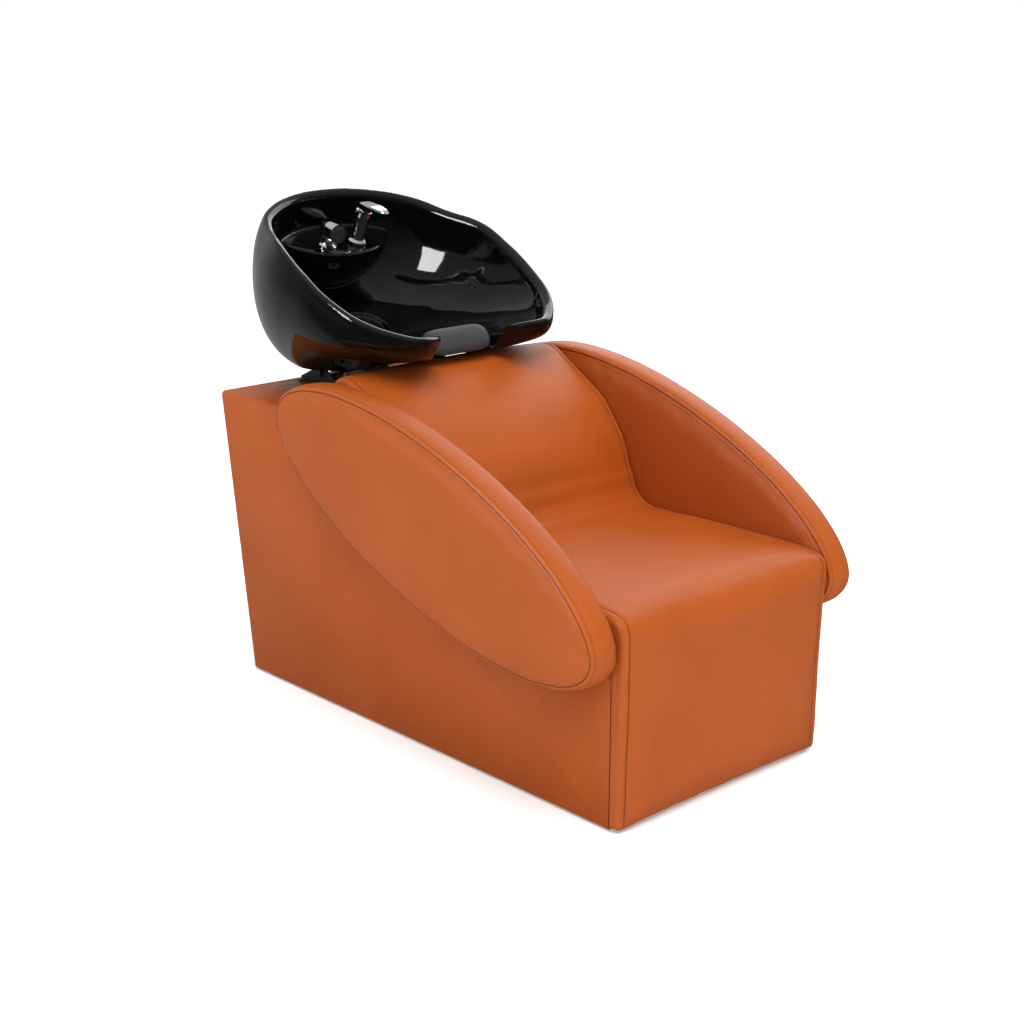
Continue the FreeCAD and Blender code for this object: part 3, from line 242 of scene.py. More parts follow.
plain = {
    "cloud": (24.0, 4.0, 0.6), "fine": (3.0, 0.6), "roughSpan": 0.07, "strength": 0.6,
    # slot: name, dark, bright, roughness, scale of the fine noise, depth of the bump
    "kinds": {
        "black_steel": ("blackSteel", (0.006, 0.006, 0.007), (0.013, 0.013, 0.014), 0.42, 1400.0, 0.0002),
        "black_plastic": ("blackPlastic", (0.010, 0.010, 0.011), (0.022, 0.022, 0.023), 0.5, 900.0, 0.0002),
        "white_plastic": ("whitePlastic", (0.58, 0.58, 0.55), (0.70, 0.70, 0.67), 0.38, 700.0, 0.0001),
        "black_rubber": ("blackRubber", (0.008, 0.008, 0.008), (0.016, 0.016, 0.016), 0.68, 800.0, 0.0003),
        "red_plastic": ("redIndex", (0.42, 0.008, 0.012), (0.60, 0.015, 0.020), 0.22, 400.0, 0.00005),
    },
}


def makePlain(name, dark, bright, rough, grain, depth):
    finish = Finish(name)
    fine, span = finish.noise(grain, *plain["fine"]), plain["roughSpan"]
    finish.feed(Base_Color=finish.between(finish.noise(*plain["cloud"]), dark, bright))
    finish.feed(Roughness=finish.spread(fine, rough - span, rough + span))
    finish.bump(fine, depth, plain["strength"])
    return finish.material


plywood = {
    "dark": (0.42, 0.27, 0.14), "bright": (0.64, 0.47, 0.29), "specular": 0.3, "rough": (0.55, 0.75),
    "grain": (7.0, 5.0, 0.62, (9.0, 1.0, 1.6)), "grainTone": (0.0, 0.8),
    "fibre": (90.0, 3.0, 0.6, (6.0, 1.0, 1.0)), "fibreTone": (-0.1, 0.1), "fibreRise": 0.4,
    "plies": {"Scale": 105.0, "Distortion": 0.3}, "plyTone": 0.12, "depth": 0.0006, "strength": 0.4,
}


def makePlywood():
    finish = Finish("birchPlywood", Specular_IOR_Level=plywood["specular"])
    grain, fibre = finish.noise(*plywood["grain"]), finish.noise(*plywood["fibre"])
    banding = {"wave_type": "BANDS", "bands_direction": "X"}
    plies = finish.node("ShaderNodeTexWave", banding, {"Vector": finish.place(), **plywood["plies"]}, "Fac")
    tone = finish.spread(grain, *plywood["grainTone"]) + finish.spread(fibre, *plywood["fibreTone"])
    tone = tone + plies * plywood["plyTone"]
    finish.feed(Base_Color=finish.between(tone, plywood["dark"], plywood["bright"]))
    finish.feed(Roughness=finish.spread(fibre, *plywood["rough"]))
    finish.bump(grain + fibre * plywood["fibreRise"], plywood["depth"], plywood["strength"])
    return finish.material


nozzles = {
    # hole: near-black painted into the nozzle holes, painted shade
    "hole": (0.001, 0.001, 0.001), "plate": (0.030, 0.031, 0.034), "holes": 320.0, "holeEdge": 3.0,
    "wear": (300.0, 3.0, 0.5), "rough": (0.22, 0.34), "specular": 0.5, "depth": 0.0008, "strength": 0.8,
}


def makeSprayFace():
    finish = Finish("sprayFace", Specular_IOR_Level=nozzles["specular"])
    # the nozzle holes are painted near-black: painted shade inside the holes, with a bump for their depth
    dots = (finish.cells(nozzles["holes"], "F1") * nozzles["holeEdge"]).atMost(1.0)
    finish.feed(Base_Color=finish.between(dots, nozzles["hole"], nozzles["plate"]))
    finish.feed(Roughness=finish.spread(finish.noise(*nozzles["wear"]), *nozzles["rough"]))
    finish.bump(dots, nozzles["depth"], nozzles["strength"])
    return finish.material


finishes = {
    "leatherette": makeLeather(), "black_glaze": makeGlaze(), "grey_gel": makeGel(), "plywood": makePlywood(),
}
finishes.update({slot: makeMetal(*kind) for slot, kind in metal["kinds"].items()})
finishes.update({slot: makePlain(*kind) for slot, kind in plain["kinds"].items()})
for part in frame["record"]["subparts"]:
    mesh = nodes[part["node"]].data
    mesh.materials.clear()
    mesh.materials.append(finishes[part["material_slot"]])
nodes["spray_face"].data.materials[0] = makeSprayFace()
threadFinish = makeThread()
print("finishes ready:", len(finishes))


# Meshes
def addMesh(name, points, faces, seamShade=None):
    mesh = bpy.data.meshes.new(name)
    mesh.from_pydata([tuple(point) for point in at(points)], [], faces)
    # the seam attribute carries painted shade: how much of the dark seam colour each point takes in the seam
    # grooves
    if seamShade is not None:
        mesh.attributes.new("seamShade", "FLOAT", "POINT").data.foreach_set("value", np.asarray(seamShade, np.float32))
    piece = bpy.data.objects.new(name, mesh)
    bpy.context.scene.collection.objects.link(piece)
    sheet = bmesh.new()
    sheet.from_mesh(mesh)
    bmesh.ops.recalc_face_normals(sheet, faces=sheet.faces)
    sheet.to_mesh(mesh)
    sheet.free()
    return piece


def dress(piece, slotName, body, *hides):
    piece.data.materials.clear()
    piece.data.materials.append(finishes[slotName])
    piece.data.polygons.foreach_set("use_smooth", [True] * len(piece.data.polygons))
    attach(piece, body)
    if hides:
        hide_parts(*hides)


def modify(piece, kind, **settings):
    step = piece.modifiers.new(kind.lower(), kind)
    for name, value in settings.items():
        setattr(step, name, value)


def settle(piece):
    bpy.context.view_layer.update()
    ready = piece.evaluated_get(bpy.context.evaluated_depsgraph_get())
    mesh = bpy.data.meshes.new_from_object(ready)
    piece.modifiers.clear()
    piece.data = mesh


def combine(piece, tool, operation):
    modify(piece, "BOOLEAN", object=tool, operation=operation, solver="EXACT")
    settle(piece)
    bpy.data.objects.remove(tool)


def gridFaces(rows, columns, ringColumns=False):
    faces = []
    for row in range(rows - 1):
        for column in range(columns if ringColumns else columns - 1):
            across = (column + 1) % columns
            faces.append((row * columns + column, row * columns + across,
                          (row + 1) * columns + across, (row + 1) * columns + column))
    return faces


def ringSolid(name, rings, seamShade=None):
    count = len(rings[0])
    points = [point for ring in rings for point in ring]
    faces = gridFaces(len(rings), count, ringColumns=True)
    faces += [tuple(range(count)), tuple(len(points) - 1 - number for number in range(count))]
    return addMesh(name, points, faces, seamShade)


def roundTurns(count):
    return np.linspace(0, 2 * math.pi, count, endpoint=False)


def quarterTurns(count):
    return np.radians(np.linspace(0, 90, count))


def runLengths(line):
    return np.concatenate([[0], np.cumsum(np.linalg.norm(np.diff(line, axis=0), axis=1))])


def evenly(line, step):
    lengths = runLengths(line)
    places = np.linspace(0, lengths[-1], max(2, round(lengths[-1] / step) + 1))
    return np.stack([np.interp(places, lengths, axis) for axis in line.T], -1)


def smoothLine(points, step, finer=24):
    # a smooth curve through the points
    corners = np.array(points, float)
    lengths = runLengths(corners)
    slopes = np.gradient(corners, lengths, axis=0)
    fine = np.linspace(0, lengths[-1], finer * len(corners))
    spot = np.clip(np.searchsorted(lengths, fine, "right") - 1, 0, len(corners) - 2)
    width = (lengths[spot + 1] - lengths[spot])[:, None]
    t = (fine - lengths[spot])[:, None] / width
    line = (1 + 2 * t) * (1 - t) ** 2 * corners[spot] + t * (1 - t) ** 2 * width * slopes[spot]
    line += t * t * (3 - 2 * t) * corners[spot + 1] + t * t * (t - 1) * width * slopes[spot + 1]
    return evenly(line, step)


def pointTree(points):
    tree = KDTree(len(points))
    for number, point in enumerate(points):
        tree.insert(point, number)
    tree.balance()
    return tree


def meshPoints(mesh):
    flat = np.empty(3 * len(mesh.vertices))
    mesh.vertices.foreach_get("co", flat)
    return flat.reshape(-1, 3) / mm + (0, frontFace, 0)


def reshape(piece, move):
    piece.data.vertices.foreach_set("co", at(move(meshPoints(piece.data))).ravel())
    piece.data.update()


# Padding: cloth under air pressure on a plain copy says how far each stretch of a cover swells
padding = {"pressure": 4.0, "frames": 20, "near": 4, "tiny": 1e-6}


def swelling(piece, voxel, most, holds):
    scene = bpy.context.scene
    copy = bpy.data.objects.new("swellCopy", piece.data.copy())
    scene.collection.objects.link(copy)
    modify(copy, "REMESH", mode="VOXEL", voxel_size=voxel * mm)
    settle(copy)
    rest = meshPoints(copy.data)
    held = copy.vertex_groups.new(name="held")
    held.add([int(number) for number in np.nonzero(holds(rest))[0]], 1.0, "REPLACE")
    cloth = copy.modifiers.new("cloth", "CLOTH")
    cloth.settings.use_pressure = True
    cloth.settings.uniform_pressure_force = padding["pressure"]
    cloth.settings.effector_weights.gravity = 0
    cloth.settings.vertex_group_mass = "held"
    cloth.point_cache.frame_start, cloth.point_cache.frame_end = 1, padding["frames"]
    for number in range(1, padding["frames"] + 1):
        scene.frame_set(number)
    ready = copy.evaluated_get(bpy.context.evaluated_depsgraph_get())
    moves = meshPoints(ready.data) - rest
    far = np.linalg.norm(moves, axis=1)[:, None]
    moves *= most * np.tanh(far / most) / np.maximum(far, padding["tiny"])
    print(piece.name, "swells by up to", round(float(far.max()), 1), "mm, kept to", most)
    bpy.data.objects.remove(copy)
    scene.frame_set(1)
    tree = pointTree(rest)

    def swell(points):
        moved = []
        for point in np.asarray(points, float):
            found = tree.find_n(point, padding["near"])
            weights = np.array([1 / (gap + 1) for spot, number, gap in found])
            shift = sum(weight * moves[number] for weight, (spot, number, gap) in zip(weights, found))
            moved.append(point + shift / weights.sum())
        return np.array(moved)

    return swell


# Stitches: short threads in rows along a seam; profile is the place along a stitch and its fullness
stitch = {
    "step": 7.0, "length": 4.6, "thick": 0.6, "lift": 0.25, "sink": 0.5, "sides": 6,
    "profile": ((-0.5, 0.35), (-0.32, 1.0), (0.32, 1.0), (0.5, 0.35)),
}


def makeStitches(name, rows, move):
    points, faces = [], []
    profile, count = stitch["profile"], stitch["sides"]
    turns = roundTurns(count)
    walls = gridFaces(len(profile), count, ringColumns=True)
    for line, outward in rows:
        lengths = runLengths(line)
        ahead = np.gradient(line, axis=0)
        for place in np.arange(stitch["step"], lengths[-1] - stitch["step"], stitch["step"]):
            spot, along, out = [np.array([np.interp(place, lengths, axis) for axis in part.T])
                                for part in (line, ahead, outward)]
            along /= np.linalg.norm(along)
            side = np.cross(along, out)
            side /= np.linalg.norm(side)
            up = np.cross(side, along)
            first = len(points)
            for reach, full in profile:
                rise = stitch["lift"] * (full - stitch["sink"])
                middle = spot + along * reach * stitch["length"] + up * rise
                for turn in turns:
                    way = side * math.cos(turn) + up * math.sin(turn)
                    points.append(middle + stitch["thick"] * full * way)
            last = len(points) - 1
            faces += [tuple(first + number for number in face) for face in walls]
            faces += [tuple(first + number for number in range(count))]
            faces += [tuple(last - number for number in range(count))]
    piece = addMesh(name, move(points), faces)
    dress(piece, "leatherette", "base")
    piece.data.materials[0] = threadFinish


# Seat cover: one continuous skin over front, seat and back
seat = {
    "line": [
        (10, 6), (2, 9), (0, 20), (-4, 120), (-6, 220), (-7, 320), (-9, 390), (-8, 410), (-3, 424),
        (8, 432.5), (26, 437.5), (50, 440), (100, 441.5), (200, 442), (300, 441), (400, 439), (450, 438),
        (470, 437), (494.6, 441.3), (518.2, 455.5), (534, 476.6), (541.3, 499), (549, 512), (562, 551),
        (579, 587), (603, 618), (632, 655), (674, 685), (715, 710), (757, 734), (794, 754), (820, 760),
        (842, 757), (858, 742), (865, 718), (866, 690), (866, 664),
    ],
    "inside": [(26, 6), (26, 372), (551, 372), (800, 694), (834, 662), (864, 662)],
    "step": 8.0, "insideStep": 1.0, "across": 46, "sideShares": (0.0, 0.35, 0.7),
    "half": 300.0, "seatHalf": 304.0, "widenFrom": 330.0, "widenOver": 90.0, "edge": 12.0, "edgeSteps": 7,
    "crown": 7.0, "crownPower": 0.8, "frontCrown": 0.45, "endShare": 0.06,
    "seamInset": 4.0, "seamWidth": 1.6, "seamDepth": 2.2, "seamShadeReach": 1.2,
    "seamSteps": (-1.5, -0.75, 0.0, 0.75, 1.5), "stitchInset": 5.0, "stitchEnds": 2,
    "voxel": 11.0, "swell": 7.0, "holdInside": 14.0, "holdSide": 5.0, "holdRear": 790.0,
}


def puffAt(x, reach, bulge):
    return bulge * max(0.0, 1 - (x / reach) ** 2) ** seat["crownPower"]


def makeSeatCover():
    line = smoothLine(seat["line"], seat["step"])
    ahead = np.gradient(line, axis=0)
    ahead /= np.linalg.norm(ahead, axis=1)[:, None]
    out = np.stack([-ahead[:, 1], ahead[:, 0]], -1)
    shares = np.linspace(0, 1, len(line))
    inside = evenly(np.array(seat["inside"], float), seat["insideStep"])
    inner = inside[(shares * (len(inside) - 1)).astype(int)]
    rise = np.clip((line[:, 1] - seat["widenFrom"]) / seat["widenOver"], 0, 1)
    half = seat["half"] + (seat["seatHalf"] - seat["half"]) * rise
    ends = np.clip(np.minimum(shares, 1 - shares) / seat["endShare"], 0, 1)
    crown = seat["crown"] * (seat["frontCrown"] + (1 - seat["frontCrown"]) * rise) * ends
    edge, seamEnd = seat["edge"], seat["seamSteps"][-1]
    # columns: push in from the side, sink below the face, painted seam shade mark (a dark colour painted into
    # the seam groove)
    columns = []
    for turn in quarterTurns(seat["edgeSteps"]):
        columns.append((edge * (1 - math.cos(turn)), edge * (1 - math.sin(turn)), 0.0))
    for gap in seat["seamSteps"]:
        push = edge + seat["seamInset"] + gap * seat["seamWidth"]
        dip = seat["seamDepth"] * max(0, 1 - abs(gap) / seamEnd)
        columns.append((push, dip, max(0, 1 - abs(gap) / seat["seamShadeReach"])))
    rings, seamShades, threads = [], [], []
    for place, facing, back, reach, bulge in zip(line, out, inner, half, crown):
        lower = place - facing * edge
        sides = [(reach, *(back + (lower - back) * share), 0.0) for share in seat["sideShares"]]
        sides += [(reach - push, *(place - facing * sink), mark) for push, sink, mark in columns]
        flat = sides[-1][0]
        row = sides + [(x, *place, 0.0) for x in np.linspace(flat, -flat, seat["across"])[1:-1]]
        row += [(-x, y, z, mark) for x, y, z, mark in sides[::-1]]
        ring = []
        for x, y, z, mark in row:
            puff = puffAt(x, reach, bulge)
            ring.append((x, y + facing[0] * puff, z + facing[1] * puff))
            seamShades.append(mark)
        rings.append(ring)
        x = reach - edge - seat["seamInset"] - seat["stitchInset"]
        threads.append((x, *(place + facing * puffAt(x, reach, bulge))))
    piece = ringSolid("seatCover", rings, seamShades)
    under = pointTree([(0, y, z) for y, z in inside])

    def holds(points):
        low = np.array([under.find((0, y, z))[2] < seat["holdInside"] for x, y, z in points])
        wide = np.abs(points[:, 0]) > seat["half"] - seat["holdSide"]
        return low | wide | (points[:, 1] > seat["holdRear"])

    swell = swelling(piece, seat["voxel"], seat["swell"], holds)
    reshape(piece, swell)
    dress(piece, "leatherette", "base", "front_apron", "seat_pad", "back_pad")
    sewn = slice(seat["stitchEnds"], -seat["stitchEnds"])
    row = np.array(threads)[sewn]
    outward = np.concatenate([np.zeros((len(out), 1)), out], axis=1)[sewn]
    makeStitches("seatStitches", [(row * (side, 1, 1), outward) for side in (-1, 1)], swell)


makeSeatCover()
print("seat cover made")

# Arms: oval panels with a padded face each side and a sewn strip round the edge
arm = {
    "centre": (477.0, 520.0), "long": 511.0, "short": 176.0, "tilt": 19.2, "inner": 313.0, "outer": 384.0,
    "around": 220, "rings": 26, "middleShare": 0.04, "crown": 4.0, "crownPower": 2.6,
    # half section: inset from the oval, depth from the face, painted seam shade mark (a dark colour painted
    # into the seam groove)
    "section": [
        (14.0, 0, 0), (10.6, 0.1, 0), (9.0, 1.1, 0.5), (8.0, 2.2, 1), (7.0, 1.1, 0.5), (5.8, 0.7, 0),
        (3.4, 2.6, 0), (1.6, 5, 0), (0.7, 7, 0.15), (0.9, 8.2, 0.6), (0.5, 9.4, 0.1), (0.1, 12, 0),
        (-0.9, 20, 0), (-1.5, 28, 0),
    ],
    "middleInset": -1.7, "stitchInset": 13.0, "voxel": 9.0, "swell": 4.0, "holdDepth": 12.0,
}


def onArm(flat, across):
    lean = math.radians(arm["tilt"])
    y = arm["centre"][0] + flat[:, 0] * math.cos(lean) - flat[:, 1] * math.sin(lean)
    z = arm["centre"][1] + flat[:, 0] * math.sin(lean) + flat[:, 1] * math.cos(lean)
    return np.stack([np.full(len(y), across), y, z], -1)


def makeArm(name, side, word):
    turns = roundTurns(arm["around"])
    oval = np.stack([arm["long"] * np.cos(turns), arm["short"] * np.sin(turns)], -1)
    normal = np.stack([arm["short"] * np.cos(turns), arm["long"] * np.sin(turns)], -1)
    normal /= np.linalg.norm(normal, axis=1)[:, None]
    thick = arm["outer"] - arm["inner"]
    section = arm["section"] + [(arm["middleInset"], thick / 2, 0)]
    section += [(inset, thick - depth, mark) for inset, depth, mark in arm["section"][::-1]]
    rim = oval - normal * section[0][0]
    shares = np.linspace(arm["middleShare"], 1, arm["rings"])[:-1]
    flats = [(rim * share, -arm["crown"] * (1 - share ** arm["crownPower"]), 0) for share in shares]
    edges = [(oval - normal * inset, depth, mark) for inset, depth, mark in section]
    backs = [(flat, thick - depth, mark) for flat, depth, mark in flats[::-1]]
    rings, seamShades = [], []
    for flat, depth, mark in flats + edges + backs:
        rings.append(onArm(flat, side * (arm["outer"] - depth)))
        seamShades.extend([mark] * len(flat))
    piece = ringSolid(name, rings, seamShades)
    middle = side * (arm["inner"] + arm["outer"]) / 2

    def holds(points):
        return np.abs(points[:, 0] - middle) < thick / 2 - arm["holdDepth"]

    swell = swelling(piece, arm["voxel"], arm["swell"], holds)
    reshape(piece, swell)
    dress(piece, "leatherette", "base", f"arm_inner_pad_{word}", f"arm_outer_pad_{word}")
    rows = []
    for across, facing in ((arm["outer"], side), (arm["inner"], -side)):
        line = onArm(oval - normal * arm["stitchInset"], side * across)
        rows.append((line, np.tile((facing, 0.0, 0.0), (len(line), 1))))
    makeStitches(f"{name}Stitches", rows, swell)


makeArm("armLeft", -1, "left")
makeArm("armRight", 1, "right")
print("arms made")

# Box cover: sides, leaning rear and padded deck as one sewn skin
box = {
    "half": 300.0, "front": 24.0, "foot": 6.0, "floorRear": 1202.0, "deckRear": 1294.0, "deck": 660.0,
    "seatTop": 370.0, "slopeFoot": 552.0, "slopeHead": (803.0, 692.0), "deckFront": 838.0,
    "round": 11.0, "roundSteps": 6, "skin": 6.0,
    "holeY": 1193.0, "hole": 56.0, "holeSteps": 72, "holeLevels": (-40, 40),
}


def makeBoxCover():
    rearFoot = box["floorRear"] + (box["deckRear"] - box["floorRear"]) * box["foot"] / box["deck"]
    outline = [
        (box["front"], box["foot"]), (box["front"], box["seatTop"]), (box["slopeFoot"], box["seatTop"]),
        box["slopeHead"], (box["deckFront"], box["deck"]), (box["deckRear"], box["deck"]),
        (rearFoot, box["foot"]),
    ]
    count = len(outline)
    deckStart, rearStart = 4, 5  # where the deck and the rear begin in the outline
    points = [(side * box["half"], y, z) for side in (-1, 1) for y, z in outline]
    faces = [tuple(range(count)), tuple(range(count, 2 * count))]
    faces += [(row, row + 1, row + 1 + count, row + count) for row in (deckStart, rearStart)]
    piece = addMesh("boxCover", points, faces)
    sheet = bmesh.new()
    sheet.from_mesh(piece.data)
    sharp = [edge for edge in sheet.edges if len(edge.link_faces) == 2]
    bmesh.ops.bevel(sheet, geom=sharp, offset=box["round"] * mm, segments=box["roundSteps"],
                    profile=0.5, affect="EDGES")
    sheet.to_mesh(piece.data)
    sheet.free()
    modify(piece, "SOLIDIFY", thickness=box["skin"] * mm, offset=-1)
    settle(piece)
    around = roundTurns(box["holeSteps"])
    hole = box["hole"] * np.stack([np.sin(around), np.cos(around), 0 * around], -1)
    rings = [hole + (0, box["holeY"], box["deck"] + level) for level in box["holeLevels"]]
    combine(piece, ringSolid("deckHole", rings), "DIFFERENCE")
    dress(piece, "leatherette", "base", "side_cover_left", "side_cover_right", "rear_cover", "deck_pad")


makeBoxCover()
print("box cover made")

# Bowl: two walls lofted from the rim to the base, rolled together at the rim
bowl = {
    "origin": (985.0, 975.0), "tilt": 24.3, "around": 168, "down": 44,
    "rim": [
        (0, 752, 826), (60, 748, 829), (92, 739, 833), (128, 715, 841), (160, 702, 844), (182, 701, 845),
        (206, 718, 850), (228, 737, 858), (248, 759, 866), (266, 782, 877), (282, 809, 890), (292, 843, 908),
        (300, 880, 927), (304, 923, 952), (304, 954, 970), (302, 992, 992), (296, 1036, 1015),
        (284, 1071, 1028), (266, 1111, 1037), (252, 1143, 1046), (226, 1187, 1065), (174, 1224, 1082),
        (110, 1252, 1093), (62, 1262, 1098), (0, 1267, 1100),
    ],
    "rimThick": 26.0, "rimSoft": (1, 2, 3, 2, 1), "crest": 0.3, "rollSteps": 7, "bulge": (3.2, 2.1),
    # a wall line is start, first bend, last bend, end; "rim" places are taken along and above the rim's plane
    "outside": {
        "front": (("rim", -309, 0), (6, -108), (-196, 92), (1096, 702)),
        "rear": (("rim", 309, 0), (80, -110), (88, 38), (1290, 702)), "half": (304, 346, 245, 132),
        "drop": 14.0, "dropEnd": 0.25, "shiftFade": 3,
    },
    "inside": {
        "front": (("rim", -283, 0), (22, -52), (-135, 14), ("rim", -9, -221)),
        "rear": (("rim", 283, 0), (52, -105), (115, 30), ("rim", 115, -221)), "half": (278, 262, 228, 62),
        "drop": 16.0, "dropEnd": 0.4, "shiftFade": 2,
    },
    "ledge": {
        "place": (264.0, -86.0), "size": (160.0, 112.0, 138.0), "edge": 5.0, "edgeTurns": (30, 60, 90),
        "underTurns": (88, 0, 14), "around": 84,
    },
    # a cut is radius, low level, high level
    "sump": {"place": 53.0, "floor": -221.0, "cuts": ((56.0, -8.0, 30.0), (21.5, -90.0, 0.0)), "around": 64},
    "notch": {
        "half": 92.0, "corner": 12.0, "cornerSteps": 9, "high": 240.0, "slope": 35.0, "lip": (799.0, 788.0),
        "reach": (-170.0, 80.0, 51), "flare": 14.0, "flareFrom": 5.0, "flareOver": 35.0, "flareMost": 4.0,
    },
    "arch": {"radius": 150.0, "slope": 11.0, "lip": 5.0, "reach": (-110.0, 150.0, 6), "around": 96},
    "voxel": 3.0, "smoothing": 7,
}
rimCos, rimSin = math.cos(math.radians(bowl["tilt"])), math.sin(math.radians(bowl["tilt"]))
rimUp = np.array([0, -rimSin, rimCos])


def rimPoint(v, w):
    y, z = bowl["origin"]
    return np.array([y + v * rimCos - w * rimSin, z + v * rimSin + w * rimCos])


def toRim(y, z):
    ahead, above = y - bowl["origin"][0], z - bowl["origin"][1]
    return ahead * rimCos + above * rimSin, above * rimCos - ahead * rimSin


def curveAt(controls, s):
    start, first, last, end = controls
    return (1 - s) ** 3 * start + 3 * s * (1 - s) ** 2 * first + 3 * s * s * (1 - s) * last + s ** 3 * end


def wallLine(entry):
    spots = [rimPoint(*spot[1:]) if spot[0] == "rim" else np.array(spot, float) for spot in entry]
    start, first, last, end = spots
    return start, start + first, end + last, end


def wallRing(wall, s, turns):
    front, rear = curveAt(wallLine(wall["front"]), s), curveAt(wallLine(wall["rear"]), s)
    half = curveAt(wall["half"], s)
    middle, reach = (front + rear) / 2, (rear - front) / 2
    ring = []
    for turn in turns:
        along, across = math.cos(turn), math.sin(turn)
        bulge = bowl["bulge"][0] if along < 0 else bowl["bulge"][1]
        power = 2 / (bulge * (1 - s * s) + 2 * s * s)
        y, z = middle + reach * math.copysign(abs(along) ** power, along)
        ring.append((half * math.copysign(abs(across) ** power, across), y, z))
    return np.array(ring)


def softened(values):
    weights = np.array(bowl["rimSoft"]) / sum(bowl["rimSoft"])
    ends = len(weights) // 2
    return np.convolve(np.concatenate([values[-ends:], values, values[:ends]]), weights, "valid")


def rimShift(ring, outside):
    # how far the real rim line, grown by outside, leaves the flat rim, by the angle about the rim's middle
    rim = np.array(bowl["rim"], float)[::-1]
    v, w = toRim(rim[:, 1], rim[:, 2])
    angles = np.arctan2(rim[:, 0], v)
    ringV, ringW = toRim(ring[:, 1], ring[:, 2])
    far = np.hypot(ring[:, 0], ringV)
    turns = np.abs(np.arctan2(ring[:, 0], ringV))
    reach = softened(np.interp(turns, angles, np.hypot(rim[:, 0], v)) + outside - far)
    lift = softened(np.interp(turns, angles, w) - ringW)
    across, ahead = reach * ring[:, 0] / far, reach * ringV / far
    return np.stack([across, ahead * rimCos - lift * rimSin, ahead * rimSin + lift * rimCos], -1)


def discRing(v, w, across, along, steps):
    ring = []
    for turn in roundTurns(steps):
        y, z = rimPoint(v + along * math.cos(turn), w)
        ring.append((across * math.sin(turn), y, z))
    return ring


def notchFrame():
    slope = math.radians(bowl["notch"]["slope"])
    along = np.array([0, math.cos(slope), math.sin(slope)])
    rise = np.array([0, -math.sin(slope), math.cos(slope)])
    return along, rise, np.array([0, *bowl["notch"]["lip"]])


def makeBowl():
    turns = roundTurns(bowl["around"])
    crest = bowl["crest"]
    shift = rimShift(wallRing(bowl["outside"], 0, turns), bowl["rimThick"] * crest)
    walls = []
    for wall in (bowl["outside"], bowl["inside"]):
        rings = []
        for s in np.linspace(0, 1, bowl["down"]):
            lower = rimUp * wall["drop"] * max(0.0, 1 - s / wall["dropEnd"])
            rings.append(wallRing(wall, s, turns) + shift * (1 - s) ** wall["shiftFade"] - lower)
        walls.append(rings)
    outer, inner = walls
    outerDrop, innerDrop = bowl["outside"]["drop"], bowl["inside"]["drop"]
    outerTop, innerTop = outer[0] + rimUp * outerDrop, inner[0] + rimUp * innerDrop
    bends = quarterTurns(bowl["rollSteps"])
    rim = [(crest * (1 - math.cos(turn)), outerDrop * (1 - math.sin(turn))) for turn in bends[1:]]
    rim += [(crest + (1 - crest) * math.sin(turn), innerDrop * (1 - math.cos(turn))) for turn in bends[1:-1]]
    rolled = [outerTop * (1 - share) + innerTop * share - rimUp * drop for share, drop in rim]
    piece = ringSolid("bowlShell", outer[::-1] + rolled + inner)

    ledge = bowl["ledge"]
    v, w = ledge["place"]
    across, along, deep = ledge["size"]
    edge, around = ledge["edge"], ledge["around"]
    rings = []
    for turn in np.radians(np.linspace(*ledge["underTurns"])):
        level = w - edge - (deep - edge) * math.sin(turn)
        rings.append(discRing(v, level, across * math.cos(turn), along * math.cos(turn), around))
    for turn in np.radians(ledge["edgeTurns"]):
        inset = edge * (1 - math.cos(turn))
        rings.append(discRing(v, w - edge * (1 - math.sin(turn)), across - inset, along - inset, around))
    shelf = ringSolid("ledge", rings)
    combine(shelf, ringSolid("bowlBody", outer[::-1]), "INTERSECT")  # the ledge keeps inside the outer wall
    combine(piece, shelf, "UNION")

    notch = bowl["notch"]
    along, rise, lip = notchFrame()
    half, corner = notch["half"], notch["corner"]
    bends = quarterTurns(notch["cornerSteps"])
    right = [(half - corner + corner * math.sin(turn), corner - corner * math.cos(turn)) for turn in bends]
    right.append((half, notch["high"]))
    rings = []
    for reach in np.linspace(*notch["reach"]):
        opening = max(0.0, (notch["flareFrom"] - reach) / notch["flareOver"]) ** 2
        wide = notch["flare"] * min(notch["flareMost"], opening)
        slot = [(x + wide, height) for x, height in right]
        slot += [(-x, height) for x, height in slot[::-1]]
        rings.append([lip + along * reach + rise * height + (x, 0, 0) for x, height in slot])
    combine(piece, ringSolid("notch", rings), "DIFFERENCE")

    arch = bowl["arch"]
    fall = math.radians(arch["slope"])
    rearward = np.array([0, math.cos(fall), -math.sin(fall)])
    upward = np.array([0, math.sin(fall), math.cos(fall)])
    around = roundTurns(arch["around"])[:, None]
    circle = arch["radius"] * (np.sin(around) * (1, 0, 0) + np.cos(around) * upward)
    rings = []
    for reach in np.linspace(*arch["reach"]):
        rings.append(lip + rearward * reach - upward * (arch["radius"] + arch["lip"]) + circle)
    combine(piece, ringSolid("arch", rings), "DIFFERENCE")

    sump = bowl["sump"]
    for radius, *levels in sump["cuts"]:
        rings = []
        for level in levels:
            rings.append(discRing(sump["place"], sump["floor"] + level, radius, radius, sump["around"]))
        combine(piece, ringSolid("sump", rings), "DIFFERENCE")
    modify(piece, "REMESH", mode="VOXEL", voxel_size=bowl["voxel"] * mm)
    modify(piece, "SMOOTH", factor=0.5, iterations=bowl["smoothing"])
    settle(piece)
    dress(piece, "black_glaze", "basin", "bowl")


makeBowl()
print("bowl made")

# Neck rest: a domed gel bar across the notch
neckPad = {
    "section": [
        (-20, 6), (-20.5, 11), (-16, 18), (-6, 24), (6, 29), (22, 33), (34, 32.5), (44, 25), (49.5, 13),
        (50, 2), (47, 0.3), (24, 0.3), (0, 0.3), (-13, 2),
    ],
    "middle": (14.0, 16.0), "step": 3.0, "half": 90.0, "across": 44,
    "round": 7.0, "taper": 0.5, "least": 0.04,
}


